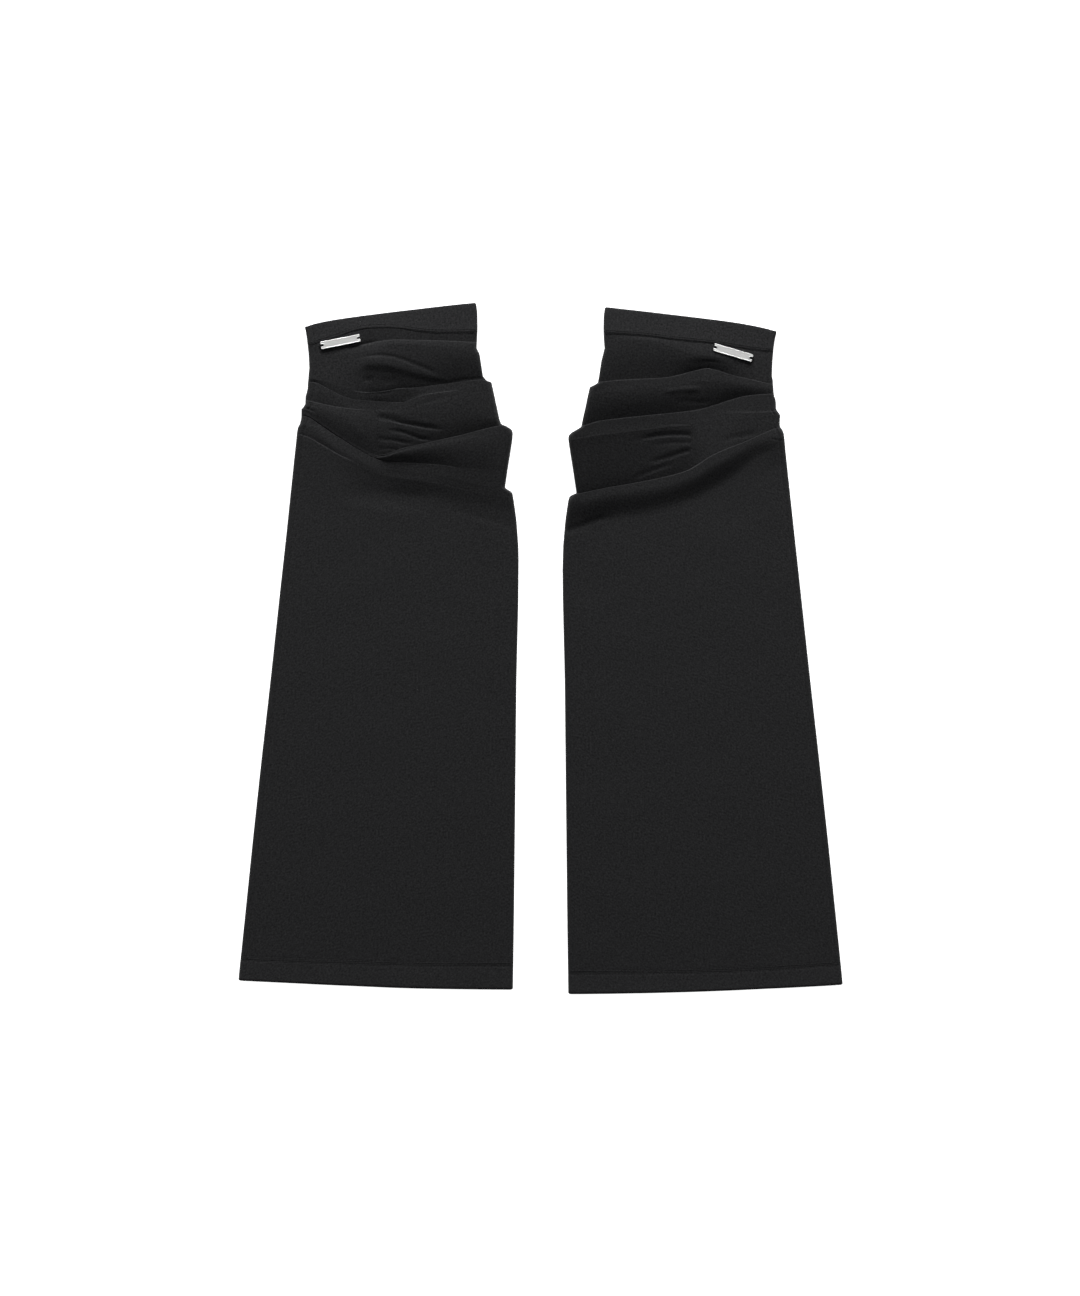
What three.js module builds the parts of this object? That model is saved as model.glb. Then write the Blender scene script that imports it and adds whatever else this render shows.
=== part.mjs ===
import * as THREE from "three";

// A pair of flared leg warmers in black knit, slouched at the top and laid flat side by side.
// Lengths are millimetres. X runs across the pair, Y from the hems up to the tops, Z up.
// The origin is on the table under the middle of the pair, and the underside lies at Z = 0.

// Driving sizes
const PAIR_LENGTH = 632; // from the highest top edge to the lowest hem corner
const WALL = 1.4; // one layer of knit
const DOUBLE_WALL = 2.5; // two layers, where the top and the hem are turned in
const SEAM_GAP = 0.3; // between the two edges that the side seam joins
const SMALLEST_STEP = 0.9; // between one ring and the next, so that no two rings cross
const LARGEST_MITRE = 1.35; // how far a sharp bend may lengthen the offset to the inside
const WIDEST_ROLL = 4; // sideways radius of the folded side edges

// Metal bar plates
const PLATE_LENGTH = 37.4;
const PLATE_WIDTH = 7.4;
const PLATE_THICKNESS = 1.2;
const PLATE_CORNER = 1.1;
const NOTCH_DEPTH = 2.8;
const NOTCH_WIDTH = 2.3;
const PLATE_CLEARANCE = 0.3; // above the knit that it is sewn to
const PLATE_MARGIN = 3; // the knit is looked at this far round the plate too

// Where the fold tables are measured across a leg warmer: a share of its width from the outer edge.
// The gathers start all at once at the gathering line, so a column just before it stays smooth.
// Rings have this many strips between one column of the tables and the next.
const STRIPS_BETWEEN = [4, 3, 1, 6, 7];
const BACK_STRIPS = 3;
const ROLL_STRIPS = 4;

// Each leg warmer has three tables. outer and inner give its outline: how far down from the top
// of the pair, and how far from the pair's middle. folds has a row for each line across the cloth
// that bends it, from the top edge to the hem. In each row, down and high have one value for each
// column: outer edge, quarter, before the gathers, gathering line, middle, inner edge.
// high is the height above the table. rings is how many rings reach from this row to the next.
const LEFT = {
  name: "left",
  side: -1,
  seamIn: 6.5,
  columns: [0, 0.2, 0.36, 0.42, 0.7, 1],
  plate: { across: 184.2, down: 34.3, tilt: 11.3 },
  outer: [
    { down: 22, across: 215.5 },
    { down: 35, across: 213 },
    { down: 60, across: 211 },
    { down: 81, across: 213 },
    { down: 84, across: 214.7 },
    { down: 94, across: 214.7 },
    { down: 96.5, across: 219 },
    { down: 109, across: 219 },
    { down: 113, across: 222 },
    { down: 138, across: 225.5 },
    { down: 175, across: 228.5 },
    { down: 266, across: 238 },
    { down: 410, across: 254 },
    { down: 522, across: 265 },
    { down: 619.5, across: 276.3 },
  ],
  inner: [
    { down: 0, across: 61 },
    { down: 13, across: 59.2 },
    { down: 39, across: 60.6 },
    { down: 42.5, across: 57.7 },
    { down: 70, across: 54 },
    { down: 72.2, across: 47 },
    { down: 111, across: 38.3 },
    { down: 116.3, across: 27.5 },
    { down: 170.8, across: 34.6 },
    { down: 173, across: 28 },
    { down: 207, across: 23 },
    { down: 235, across: 21 },
    { down: 272, across: 22.4 },
    { down: 448, across: 26 },
    { down: 628.7, across: 27.3 },
  ],
  folds: [
    { at: "top edge", wall: DOUBLE_WALL, rings: 2,
      down: [22, 14, 11, 9.5, 4, 0], high: [6.2, 6.4, 6.4, 6.4, 6.4, 6.2] },
    { at: "turned band ends", wall: DOUBLE_WALL,
      down: [34, 27, 22.5, 21, 25, 26], high: [6.2, 6.4, 6.4, 6, 6, 6] },
    { at: "single cloth begins",
      down: [36, 29, 24.5, 23, 27, 28], high: [6.2, 6.4, 6.2, 5.6, 5.4, 5.6] },
    { at: "first fold, foot",
      down: [44, 41, 37, 34.5, 34, 39], high: [6.3, 6.4, 6, 5.4, 5.8, 5.4] },
    { at: "first fold, crest", rings: 2,
      down: [49, 45.5, 41, 38, 36.5, 42.5], high: [6.3, 6.5, 7, 8, 9, 7.6] },
    { at: "second fold, foot",
      down: [61, 61, 58, 56.5, 71, 68], high: [6.4, 6.8, 6.4, 5, 5, 5.2] },
    { at: "pocket rim",
      down: [64, 66, 63, 61, 73, 69], high: [6.8, 7.8, 8.6, 9, 6.6, 5.8] },
    { at: "pocket floor",
      down: [67, 73, 74, 74, 75, 70], high: [7, 7.8, 7, 5.6, 7.2, 6.8] },
    { at: "second fold, crest", rings: 3,
      down: [71, 82, 86.5, 88, 77.5, 72.2], high: [7.4, 9, 10, 10.4, 13, 11] },
    { at: "first gather, foot",
      down: [81, 94, 100, 103, 112, 106], high: [6.6, 7.2, 7.8, 6.4, 6.4, 6.8] },
    { at: "first gather, crest",
      down: [84, 97, 103, 106, 114, 107.5], high: [8, 9, 9.4, 9.8, 8.4, 7.4] },
    { at: "second gather, foot",
      down: [87, 104, 111, 114, 120.5, 109], high: [7.8, 9, 8.8, 6.4, 6.4, 7] },
    { at: "second gather, crest",
      down: [90, 108, 115, 118, 122, 110], high: [8, 9.6, 9.6, 9.6, 7.4, 7] },
    { at: "third fold, foot",
      down: [94, 113, 121, 125, 124.5, 111], high: [7.6, 10, 9.4, 7, 6.6, 6.6] },
    { at: "third fold, crest", rings: 2,
      down: [96.5, 118, 130, 137, 128, 116.3], high: [9, 11, 11, 11, 13.4, 12] },
    { at: "main trough", rings: 2,
      down: [101.5, 123, 135, 142, 146, 149], high: [6.2, 5.4, 5, 4.8, 5, 6.4] },
    { at: "lower body, foot",
      down: [109, 130, 140, 145.5, 149, 170.8], high: [7.6, 8, 7, 5.6, 6, 6.6] },
    { at: "lower body, crest",
      down: [113, 136, 144, 149, 152.5, 173], high: [9, 9.6, 8.8, 8, 9, 11] },
    { at: "crease under the crest",
      down: [119.5, 141, 149, 154, 160, 181], high: [6.2, 6.2, 6.4, 6.8, 7.6, 9.4] },
    { at: "soft hollow",
      down: [132, 157, 164, 168, 178, 194], high: [6, 6, 6, 6, 5.8, 7] },
    { at: "soft swell",
      down: [152, 180, 188, 192, 202, 213], high: [5.8, 6.6, 7, 7, 6.6, 6.6] },
    { at: "plain body begins",
      down: [190, 214, 221, 224, 231, 240], high: [5.6, 5.8, 5.8, 5.8, 5.8, 5.8] },
    { at: "widest at the inner edge",
      down: [254, 266, 270, 272, 276, 282], high: [5.6, 5.6, 5.6, 5.6, 5.6, 5.6] },
    { at: "above the calf", rings: 2,
      down: [335, 341, 343, 344, 346, 350], high: [5.4, 5.6, 5.8, 5.8, 5.6, 5.4] },
    { at: "flare", rings: 2,
      down: [480, 484, 486, 487, 489, 492], high: [5.4, 5.4, 5.6, 5.6, 5.4, 5.4] },
    { at: "single cloth ends",
      down: [601, 604.5, 606, 606.5, 608, 608.5], high: [5.6, 5.6, 5.6, 5.6, 5.6, 5.6] },
    { at: "hem line", wall: DOUBLE_WALL,
      down: [603, 606.5, 608, 608.5, 610, 610.5], high: [6.2, 6.2, 6.2, 6.2, 6.2, 6.2] },
    { at: "hem edge", wall: DOUBLE_WALL,
      down: [619.5, 624, 625.5, 626, 628, 628.7], high: [6.2, 6.2, 6.2, 6.2, 6.2, 6.2] },
  ],
};

const RIGHT = {
  name: "right",
  side: 1,
  seamIn: 5.5,
  columns: [0, 0.24, 0.43, 0.49, 0.74, 1],
  plate: { across: 177, down: 44.4, tilt: -16.6 },
  outer: [
    { down: 26, across: 215.7 },
    { down: 46, across: 212.8 },
    { down: 65, across: 212 },
    { down: 83.5, across: 213.3 },
    { down: 87, across: 214.9 },
    { down: 97.3, across: 215 },
    { down: 100.3, across: 218.7 },
    { down: 112.8, across: 218.7 },
    { down: 118, across: 221.6 },
    { down: 146, across: 225.3 },
    { down: 180, across: 229 },
    { down: 235, across: 236 },
    { down: 353, across: 247.6 },
    { down: 490, across: 262 },
    { down: 623.2, across: 276.3 },
  ],
  inner: [
    { down: 4, across: 60.7 },
    { down: 18, across: 59.4 },
    { down: 43.5, across: 60.9 },
    { down: 47, across: 57.8 },
    { down: 74, across: 54.1 },
    { down: 76, across: 46.5 },
    { down: 113, across: 39 },
    { down: 120, across: 28 },
    { down: 136, across: 28.8 },
    { down: 175, across: 34.2 },
    { down: 178, across: 27.3 },
    { down: 218, across: 22.6 },
    { down: 257, across: 22.1 },
    { down: 385, across: 25.3 },
    { down: 632, across: 28 },
  ],
  folds: [
    { at: "top edge", wall: DOUBLE_WALL, rings: 2,
      down: [26, 17.5, 14, 12.7, 8.5, 4], high: [6.2, 6.4, 6.4, 6.4, 6.4, 6.2] },
    { at: "turned band ends", wall: DOUBLE_WALL,
      down: [43, 37, 34.5, 33, 29, 26.5], high: [6.2, 6.4, 6.4, 6, 6, 6] },
    { at: "single cloth begins",
      down: [45, 39, 36.5, 35, 31, 28.5], high: [6.2, 6.4, 6.2, 5.8, 5.6, 5.6] },
    { at: "first fold, foot",
      down: [50, 44.5, 42, 40, 37, 43.5], high: [6.2, 6.4, 6.2, 5.8, 6, 5.4] },
    { at: "first fold, crest",
      down: [54, 48, 45, 43, 40.5, 47], high: [6.2, 6.4, 6.6, 7.2, 7.6, 7.4] },
    { at: "second fold, foot",
      down: [68, 57, 55, 54, 64, 72], high: [6.2, 5.8, 5.2, 5, 6, 5.4] },
    { at: "second fold, crest", rings: 2,
      down: [73, 66, 63, 65, 69, 76], high: [7.2, 9.6, 10.6, 10, 9.6, 11] },
    { at: "small fold, foot",
      down: [77, 75, 75, 76, 78, 86], high: [7, 8, 8, 7.4, 8, 9] },
    { at: "small fold, crest",
      down: [79, 78, 79, 79.5, 82, 92], high: [7, 7.8, 8.6, 9.6, 9, 8.6] },
    { at: "small fold, hollow",
      down: [81, 80, 85, 86, 88, 98], high: [7, 7, 7.6, 7, 7, 8] },
    { at: "third fold, foot",
      down: [83.5, 83.5, 92.5, 96, 99, 112], high: [6.8, 5.6, 6, 5.6, 5.8, 6] },
    { at: "third fold, crest", rings: 2,
      down: [87, 88, 96, 99, 104, 120], high: [8.4, 9.4, 9.8, 10, 11.4, 12] },
    { at: "first gather, foot",
      down: [97.3, 100.5, 113, 118, 120, 133], high: [7.6, 7.4, 8.6, 6.2, 7.8, 9.4] },
    { at: "gather, crest", rings: 2,
      down: [100.3, 105, 121, 128.5, 137, 144], high: [9, 9.2, 9.8, 10, 9.4, 9] },
    { at: "second gather, foot",
      down: [106, 117, 130, 134.5, 145.5, 157], high: [8.2, 9.4, 9, 6.4, 7.4, 8.4] },
    { at: "fourth fold, foot",
      down: [112.8, 126, 142, 148, 158.5, 174.8], high: [7.4, 8, 8.4, 7, 7, 6] },
    { at: "fourth fold, crest", rings: 2,
      down: [116.5, 131, 147, 152.5, 163, 178], high: [9.4, 12, 12, 11.6, 12.6, 12] },
    { at: "main trough", rings: 2,
      down: [125, 145, 163, 171, 187.5, 207], high: [6.2, 5, 4.8, 5, 5.4, 5.8] },
    { at: "lower body, crest",
      down: [136, 158, 176, 184, 201, 222], high: [7.6, 8, 7.6, 7.4, 7, 6.6] },
    { at: "soft hollow",
      down: [156, 178, 196, 203, 219, 238], high: [6, 6.2, 6.2, 6.2, 6, 5.8] },
    { at: "plain body begins",
      down: [190, 208, 222, 228, 241, 256], high: [5.6, 6, 6.2, 6.2, 6, 5.8] },
    { at: "widest at the inner edge",
      down: [254, 264, 272, 275, 282, 290], high: [5.6, 5.6, 5.8, 5.8, 5.6, 5.6] },
    { at: "above the calf", rings: 2,
      down: [335, 341, 345, 346, 350, 355], high: [5.4, 5.6, 5.8, 5.8, 5.6, 5.4] },
    { at: "flare", rings: 2,
      down: [480, 484, 487, 488, 490, 493], high: [5.4, 5.4, 5.6, 5.6, 5.4, 5.4] },
    { at: "single cloth ends",
      down: [605, 610, 612, 612.5, 613, 613.5], high: [5.6, 5.6, 5.6, 5.6, 5.6, 5.6] },
    { at: "hem line", wall: DOUBLE_WALL,
      down: [607, 612, 614, 614.5, 615, 615.5], high: [6.2, 6.2, 6.2, 6.2, 6.2, 6.2] },
    { at: "hem edge", wall: DOUBLE_WALL,
      down: [623.2, 628, 629.5, 630, 631.5, 632], high: [6.2, 6.2, 6.2, 6.2, 6.2, 6.2] },
  ],
};

const knit = new THREE.MeshStandardMaterial({ color: 0x212122, roughness: 0.95, metalness: 0 });
const steel = new THREE.MeshStandardMaterial({ color: 0xc4c4c2, roughness: 0.35, metalness: 1 });

const { lerp, smoothstep, degToRad } = THREE.MathUtils;

// The outline's distance from the middle of the pair at one distance down, by straight lines.
function outlineAt(edge, down) {
  const next = edge.findIndex((point) => point.down > down);
  if (next === 0) return edge[0].across;
  if (next < 0) return edge[edge.length - 1].across;
  const [above, below] = [edge[next - 1], edge[next]];
  return lerp(above.across, below.across, (down - above.down) / (below.down - above.down));
}

// A smooth curve across the leg warmer through one value for each column of the tables.
function curveAcross(columns, values) {
  const curve = new THREE.CubicInterpolant(columns, values, 1);
  return (share) => curve.evaluate(share)[0];
}

// Every ring's two curves and its wall: the rows of the fold table, with rings between them.
// The heights ease in and out of each row, which rounds the crests and the feet.
function ringCurves({ columns, folds }) {
  const rows = folds.map(({ down, high, wall = WALL, rings = 1 }) => (
    { down: curveAcross(columns, down), high: curveAcross(columns, high), wall, rings }
  ));
  const curves = [];
  rows.slice(0, -1).forEach((row, index) => {
    const next = rows[index + 1];
    for (let ring = 0; ring < row.rings; ring += 1) {
      const part = ring / row.rings;
      curves.push({
        down: (share) => lerp(row.down(share), next.down(share), part),
        high: (share) => lerp(row.high(share), next.high(share), smoothstep(part, 0, 1)),
        wall: row.wall === next.wall || ring === 0 ? row.wall : WALL,
      });
    }
  });
  curves.push(rows[rows.length - 1]);
  return curves;
}

// Shares of the way across the front, from the seam to the fold at the inner edge.
function frontShares(columns) {
  const shares = [0];
  STRIPS_BETWEEN.forEach((strips, index) => {
    for (let strip = 1; strip <= strips; strip += 1) {
      shares.push(lerp(columns[index], columns[index + 1], strip / strips));
    }
  });
  return shares;
}

// The outside of one ring, as points of { across, down, high }, from the seam over the front,
// round the inner fold, along the flat underside and round the outer fold, back to the seam.
function ringOutside(leg, curve) {
  const downOuter = curve.down(0);
  const downInner = curve.down(1);
  const outer = outlineAt(leg.outer, downOuter);
  const inner = outlineAt(leg.inner, downInner);
  const width = outer - inner;
  const rollOf = (high) => Math.min(high / 2, WIDEST_ROLL);
  const outerRoll = rollOf(curve.high(0));
  const innerRoll = rollOf(curve.high(1));
  const frontPoint = (share) => (
    { across: outer - share * width, down: curve.down(share), high: curve.high(share) }
  );
  const rolled = (middle, roll, share, angle) => ({
    across: middle + roll * Math.cos(angle),
    down: curve.down(share),
    high: (curve.high(share) / 2) * (1 + Math.sin(angle)),
  });

  const seamShare = (leg.seamIn + SEAM_GAP / 2) / width;
  const foldShare = 1 - innerRoll / width;
  const points = frontShares(leg.columns)
    .slice(0, -1)
    .map((share) => frontPoint(lerp(seamShare, foldShare, share)));
  for (let strip = 0; strip <= ROLL_STRIPS; strip += 1) {
    const angle = Math.PI / 2 + (Math.PI * strip) / ROLL_STRIPS;
    points.push(rolled(inner + innerRoll, innerRoll, 1, angle));
  }
  for (let strip = 1; strip < BACK_STRIPS; strip += 1) {
    const part = strip / BACK_STRIPS;
    const across = lerp(inner + innerRoll, outer - outerRoll, part);
    points.push({ across, down: lerp(downInner, downOuter, part), high: 0 });
  }
  for (let strip = 0; strip <= ROLL_STRIPS; strip += 1) {
    const angle = -Math.PI / 2 + (Math.PI * strip) / ROLL_STRIPS;
    points.push(rolled(outer - outerRoll, outerRoll, 0, angle));
  }
  points.push(frontPoint((leg.seamIn - SEAM_GAP / 2) / width));
  return points;
}

// The rings' outside points in the part's frame, each column kept in order down the leg.
function outsideGrid(leg, curves) {
  const rings = curves.map((curve) => ringOutside(leg, curve));
  rings.slice(1).forEach((ring, index) => {
    ring.forEach((point, column) => {
      point.down = Math.max(point.down, rings[index][column].down + SMALLEST_STEP);
    });
  });
  return rings.map((ring) => ring.map(({ across, down, high }) => (
    new THREE.Vector3(leg.side * across, PAIR_LENGTH / 2 - down, high)
  )));
}

// Which way is out at a point of the grid, times how far one unit of wall reaches there:
// the mean of the faces round it, lengthened at a bend so that the wall keeps its thickness.
function outward(grid, ring, column, side) {
  const faces = [];
  for (const up of [-1, 1]) {
    for (const along of [-1, 1]) {
      const other = grid[ring + up];
      if (!other || !other[column + along]) continue;
      const alongStep = grid[ring][column + along].clone().sub(grid[ring][column]);
      const upStep = other[column].clone().sub(grid[ring][column]);
      faces.push(alongStep.cross(upStep).multiplyScalar(up * along * side).normalize());
    }
  }
  const sum = faces.reduce((total, face) => total.add(face), new THREE.Vector3());
  const mitre = Math.min(faces.length / sum.length(), LARGEST_MITRE);
  return sum.normalize().multiplyScalar(mitre);
}

// The inside of the cloth: the outside grid moved in by the wall of each ring. The two lips of
// the seam move the same way, so that they stay apart all the way down.
function insideGrid(leg, curves, outside) {
  return outside.map((ring, index) => {
    const ways = ring.map((_, column) => outward(outside, index, column, leg.side));
    const lip = ways[0].clone().add(ways[ways.length - 1]).multiplyScalar(0.5);
    ways[0] = lip;
    ways[ways.length - 1] = lip;
    return ring.map((point, column) => (
      point.clone().addScaledVector(ways[column], -curves[index].wall)
    ));
  });
}

// A closed wall between the outside grid and the inside grid.
function wallGeometry(leg) {
  const curves = ringCurves(leg);
  const outside = outsideGrid(leg, curves);
  const inside = insideGrid(leg, curves, outside);
  const ringSize = outside[0].length;
  const layerSize = outside.length * ringSize;
  const positions = [...outside.flat(), ...inside.flat()].flatMap((point) => point.toArray());
  const triangles = [];
  const at = (layer, ring, column) => layer * layerSize + ring * ringSize + column;
  const quad = (a, b, c, d) => {
    const corners = leg.side > 0 ? [a, b, c, a, c, d] : [a, c, b, a, d, c];
    triangles.push(...corners);
  };
  const lastRing = outside.length - 1;
  const lastColumn = ringSize - 1;
  for (let ring = 0; ring < lastRing; ring += 1) {
    for (let column = 0; column < lastColumn; column += 1) {
      const cell = (layer) => [
        at(layer, ring, column),
        at(layer, ring, column + 1),
        at(layer, ring + 1, column + 1),
        at(layer, ring + 1, column),
      ];
      quad(...cell(0));
      quad(...cell(1).reverse());
    }
    quad(at(1, ring, 0), at(0, ring, 0), at(0, ring + 1, 0), at(1, ring + 1, 0));
    quad(at(0, ring, lastColumn), at(1, ring, lastColumn),
      at(1, ring + 1, lastColumn), at(0, ring + 1, lastColumn));
  }
  for (let column = 0; column < lastColumn; column += 1) {
    quad(at(0, 0, column), at(1, 0, column), at(1, 0, column + 1), at(0, 0, column + 1));
    quad(at(0, lastRing, column), at(0, lastRing, column + 1),
      at(1, lastRing, column + 1), at(1, lastRing, column));
  }
  const geometry = new THREE.BufferGeometry();
  geometry.setAttribute("position", new THREE.Float32BufferAttribute(positions, 3));
  geometry.setIndex(triangles);
  geometry.computeVertexNormals();
  return geometry;
}

// One leg warmer: a single panel of knit, wrapped round and joined by one side seam.
function legPanel(leg) {
  const panel = new THREE.Mesh(wallGeometry(leg), knit);
  panel.name = `${leg.name}_leg_panel`;
  return panel;
}

// A flat bar with rounded corners and a round-bottomed notch in the middle of each end.
function plateShape() {
  const [halfLength, halfWidth] = [PLATE_LENGTH / 2, PLATE_WIDTH / 2];
  const halfNotch = NOTCH_WIDTH / 2;
  const notchMiddle = halfLength - NOTCH_DEPTH + halfNotch;
  const cornerX = halfLength - PLATE_CORNER;
  const cornerY = halfWidth - PLATE_CORNER;
  const shape = new THREE.Shape();
  shape.moveTo(-cornerX, -halfWidth);
  shape.lineTo(cornerX, -halfWidth);
  shape.absarc(cornerX, -cornerY, PLATE_CORNER, -Math.PI / 2, 0);
  shape.lineTo(halfLength, -halfNotch);
  shape.absarc(notchMiddle, 0, halfNotch, -Math.PI / 2, Math.PI / 2, true);
  shape.lineTo(halfLength, halfNotch);
  shape.absarc(cornerX, cornerY, PLATE_CORNER, 0, Math.PI / 2);
  shape.lineTo(-cornerX, halfWidth);
  shape.absarc(-cornerX, cornerY, PLATE_CORNER, Math.PI / 2, Math.PI);
  shape.lineTo(-halfLength, halfNotch);
  shape.absarc(-notchMiddle, 0, halfNotch, Math.PI / 2, -Math.PI / 2, true);
  shape.lineTo(-halfLength, -halfNotch);
  shape.absarc(-cornerX, -cornerY, PLATE_CORNER, Math.PI, 1.5 * Math.PI);
  return shape;
}

// The highest point of the panel under the plate, and one strip of the panel round it.
function highestUnder(panel, plate) {
  const positions = panel.geometry.getAttribute("position");
  const [reachAlong, reachAcross] = [PLATE_LENGTH / 2 + PLATE_MARGIN, PLATE_WIDTH / 2 + PLATE_MARGIN];
  const toPlate = new THREE.Matrix4().copy(plate.matrixWorld).invert();
  const point = new THREE.Vector3();
  let highest = 0;
  for (let index = 0; index < positions.count; index += 1) {
    point.fromBufferAttribute(positions, index);
    const { z } = point;
    point.applyMatrix4(toPlate);
    const under = Math.abs(point.x) < reachAlong && Math.abs(point.y) < reachAcross;
    if (under) highest = Math.max(highest, z);
  }
  return highest;
}

function barPlate(leg, panel) {
  const geometry = new THREE.ExtrudeGeometry(plateShape(), {
    depth: PLATE_THICKNESS,
    bevelEnabled: false,
    curveSegments: 6,
  });
  const plate = new THREE.Mesh(geometry, steel);
  plate.name = `${leg.name}_bar_plate`;
  plate.position.set(leg.side * leg.plate.across, PAIR_LENGTH / 2 - leg.plate.down, 0);
  plate.rotation.z = degToRad(leg.plate.tilt);
  plate.updateMatrixWorld();
  plate.position.z = highestUnder(panel, plate) + PLATE_CLEARANCE;
  return plate;
}

const pair = new THREE.Group();
for (const leg of [LEFT, RIGHT]) {
  const panel = legPanel(leg);
  pair.add(panel, barPlate(leg, panel));
}

export default pair;
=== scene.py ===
# %% [markdown]
# A pair of flared leg warmers in black brushed jersey, pushed down into folds below narrow tops
# and laid flat side by side.
# Each one is a single panel, wrapped round the leg and closed by a side seam close inside the
# outer edge. A short gathering line on the front holds small pleats, and a silver bar is sewn to
# the top. This lesson builds the cloth as one thin shell for each leg, worked out from the fold
# lines that the photograph shows, then the stitches, the bars, the finishes, and the light.

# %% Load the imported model
import bpy
import numpy as np
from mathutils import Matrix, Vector


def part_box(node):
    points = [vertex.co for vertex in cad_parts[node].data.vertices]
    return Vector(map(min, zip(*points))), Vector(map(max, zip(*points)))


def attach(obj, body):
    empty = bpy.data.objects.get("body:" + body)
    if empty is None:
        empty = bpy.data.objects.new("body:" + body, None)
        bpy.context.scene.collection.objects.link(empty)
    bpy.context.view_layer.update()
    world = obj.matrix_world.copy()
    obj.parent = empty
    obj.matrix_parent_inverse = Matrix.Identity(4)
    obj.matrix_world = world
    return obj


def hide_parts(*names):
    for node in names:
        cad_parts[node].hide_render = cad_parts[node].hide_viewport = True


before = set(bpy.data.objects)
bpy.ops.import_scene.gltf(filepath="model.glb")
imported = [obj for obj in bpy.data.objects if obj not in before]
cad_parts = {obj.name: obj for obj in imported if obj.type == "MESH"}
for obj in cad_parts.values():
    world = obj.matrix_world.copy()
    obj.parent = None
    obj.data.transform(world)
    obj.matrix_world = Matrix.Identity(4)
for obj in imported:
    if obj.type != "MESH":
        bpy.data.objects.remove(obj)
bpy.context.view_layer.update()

# %% [markdown]
# The photograph looks straight down, so a place in it is a place on the table. Every fold line
# below is measured there, in pixels of the photograph, and turned to millimetres once, here.
# On a leg warmer two lengths are used: across, from the middle of the pair outwards, and down,
# from the highest top edge towards the hem. The table is at height 0.

# %% Photograph to table
PHOTO_MIDDLE = 540.7
PHOTO_TOP = 304.6
MM_PER_PIXEL = 0.92
PAIR_LENGTH = 632.0
MM = 0.001


def on_table(points):
    """Across and down in mm of points of the photograph: the distance from the pair's middle
    column, and from the row of the highest top edge, times the millimetres of a pixel."""
    points = np.asarray(points, float)
    return np.abs(points[:, 0] - PHOTO_MIDDLE) * MM_PER_PIXEL, (points[:, 1] - PHOTO_TOP) * MM_PER_PIXEL


def in_frame(side, across, down, high):
    """Places in the part's frame, in metres: x is the side times across, y counts up from the
    middle of the pair's length, and z is the height."""
    return np.stack([side * across, PAIR_LENGTH / 2 - down, high], axis=-1) * MM


# %% [markdown]
# A garment keeps still for a photograph, so its outline can be read off like a map: two edges
# for each leg warmer, outer and inner. Where a fold reaches an edge the outline steps out.

# %% The outlines, in pixels of the photograph
LEFT_OUTER_EDGE = [
    (305.2, 327.6), (306.5, 334), (307.4, 340), (308.3, 348), (309, 354), (309.6, 368), (308.8, 376),
    (308.3, 382), (307.9, 388), (307.2, 392), (305.8, 396), (305.6, 404), (303.7, 407), (301.7, 409),
    (301.6, 418), (300.2, 424), (298.3, 427), (297.2, 433), (296.5, 440), (295.2, 452), (292.2, 480),
    (290.1, 500), (287, 530), (283.7, 560), (279.3, 600), (270.7, 680), (261.6, 760), (253, 840),
    (244.8, 920), (239.6, 970), (238.7, 980),
]
LEFT_INNER_EDGE = [
    (475.6, 303.4), (476.8, 312), (477, 330), (476.4, 340), (476.1, 348), (479.1, 354), (481.5, 370),
    (482.5, 376), (485.8, 380), (490.9, 382), (492.3, 388), (495.7, 404), (499.2, 420), (500.9, 424),
    (507.6, 427), (511.6, 430), (512.4, 433), (511.9, 440), (507, 470), (504.4, 488), (509.9, 491),
    (511.9, 493), (513.2, 500), (515.9, 520), (517.8, 545), (518.1, 560), (517.8, 600), (515.9, 680),
    (514.7, 800), (513.4, 920), (512.4, 988),
]
RIGHT_OUTER_EDGE = [
    (776.3, 332.4), (774.4, 340), (773.3, 348), (772.2, 360), (771.6, 376), (772.5, 380), (773.3, 392),
    (774.2, 397), (775.5, 400), (775.8, 409), (777.2, 411), (779.9, 415), (779.4, 424), (780, 427),
    (782.1, 430), (783.4, 433), (784.3, 440), (785.4, 452), (788.4, 480), (790.6, 500), (793.8, 530),
    (797.1, 560), (801.4, 600), (810.1, 680), (819.1, 760), (827.8, 840), (836.1, 920), (841.2, 970),
    (842.5, 984),
]
RIGHT_INNER_EDGE = [
    (605.4, 307.6), (604.2, 316), (604, 330), (604.5, 340), (605.1, 348), (603.6, 354), (602, 360),
    (599.6, 376), (598.5, 382), (597.1, 384), (590.4, 386.6), (588.4, 395), (586.6, 404), (583, 420),
    (581.7, 427), (576.5, 430), (571.1, 433), (568.9, 436), (568.8, 440), (570.7, 452), (573.6, 470),
    (577, 493), (570.3, 496), (568.8, 500), (565.9, 520), (563.7, 545), (563.1, 570), (563.4, 600),
    (565.3, 680), (566.5, 800), (567.8, 920), (568.8, 993),
]

# %% [markdown]
# Pushed-down cloth lies in overlapping rolls. The upper cloth runs down into a tuck, and the next
# roll begins with an edge that stands over it, so the surface goes down slowly and comes up in
# one step. The folds could be simulated, but no simulation lands on the folds of one photograph.
# So they are drawn: each line runs across the leg warmer from the outer edge to the inner one.
# A fold's points are pixel across, pixel down, height in the tuck and height of the edge over it,
# and fold is the way from the tuck to that edge, all heights and ways in mm. A rounding's points
# have one height. step is the widest distance between mesh rows up to the next line, wall the
# cloth's thickness, and back the depth of the crease that the same fold presses into the hidden
# side. The turned band ends in such a line too: there the two heights are the drop from double to
# single cloth, and wall_below is the thickness that follows.

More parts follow.
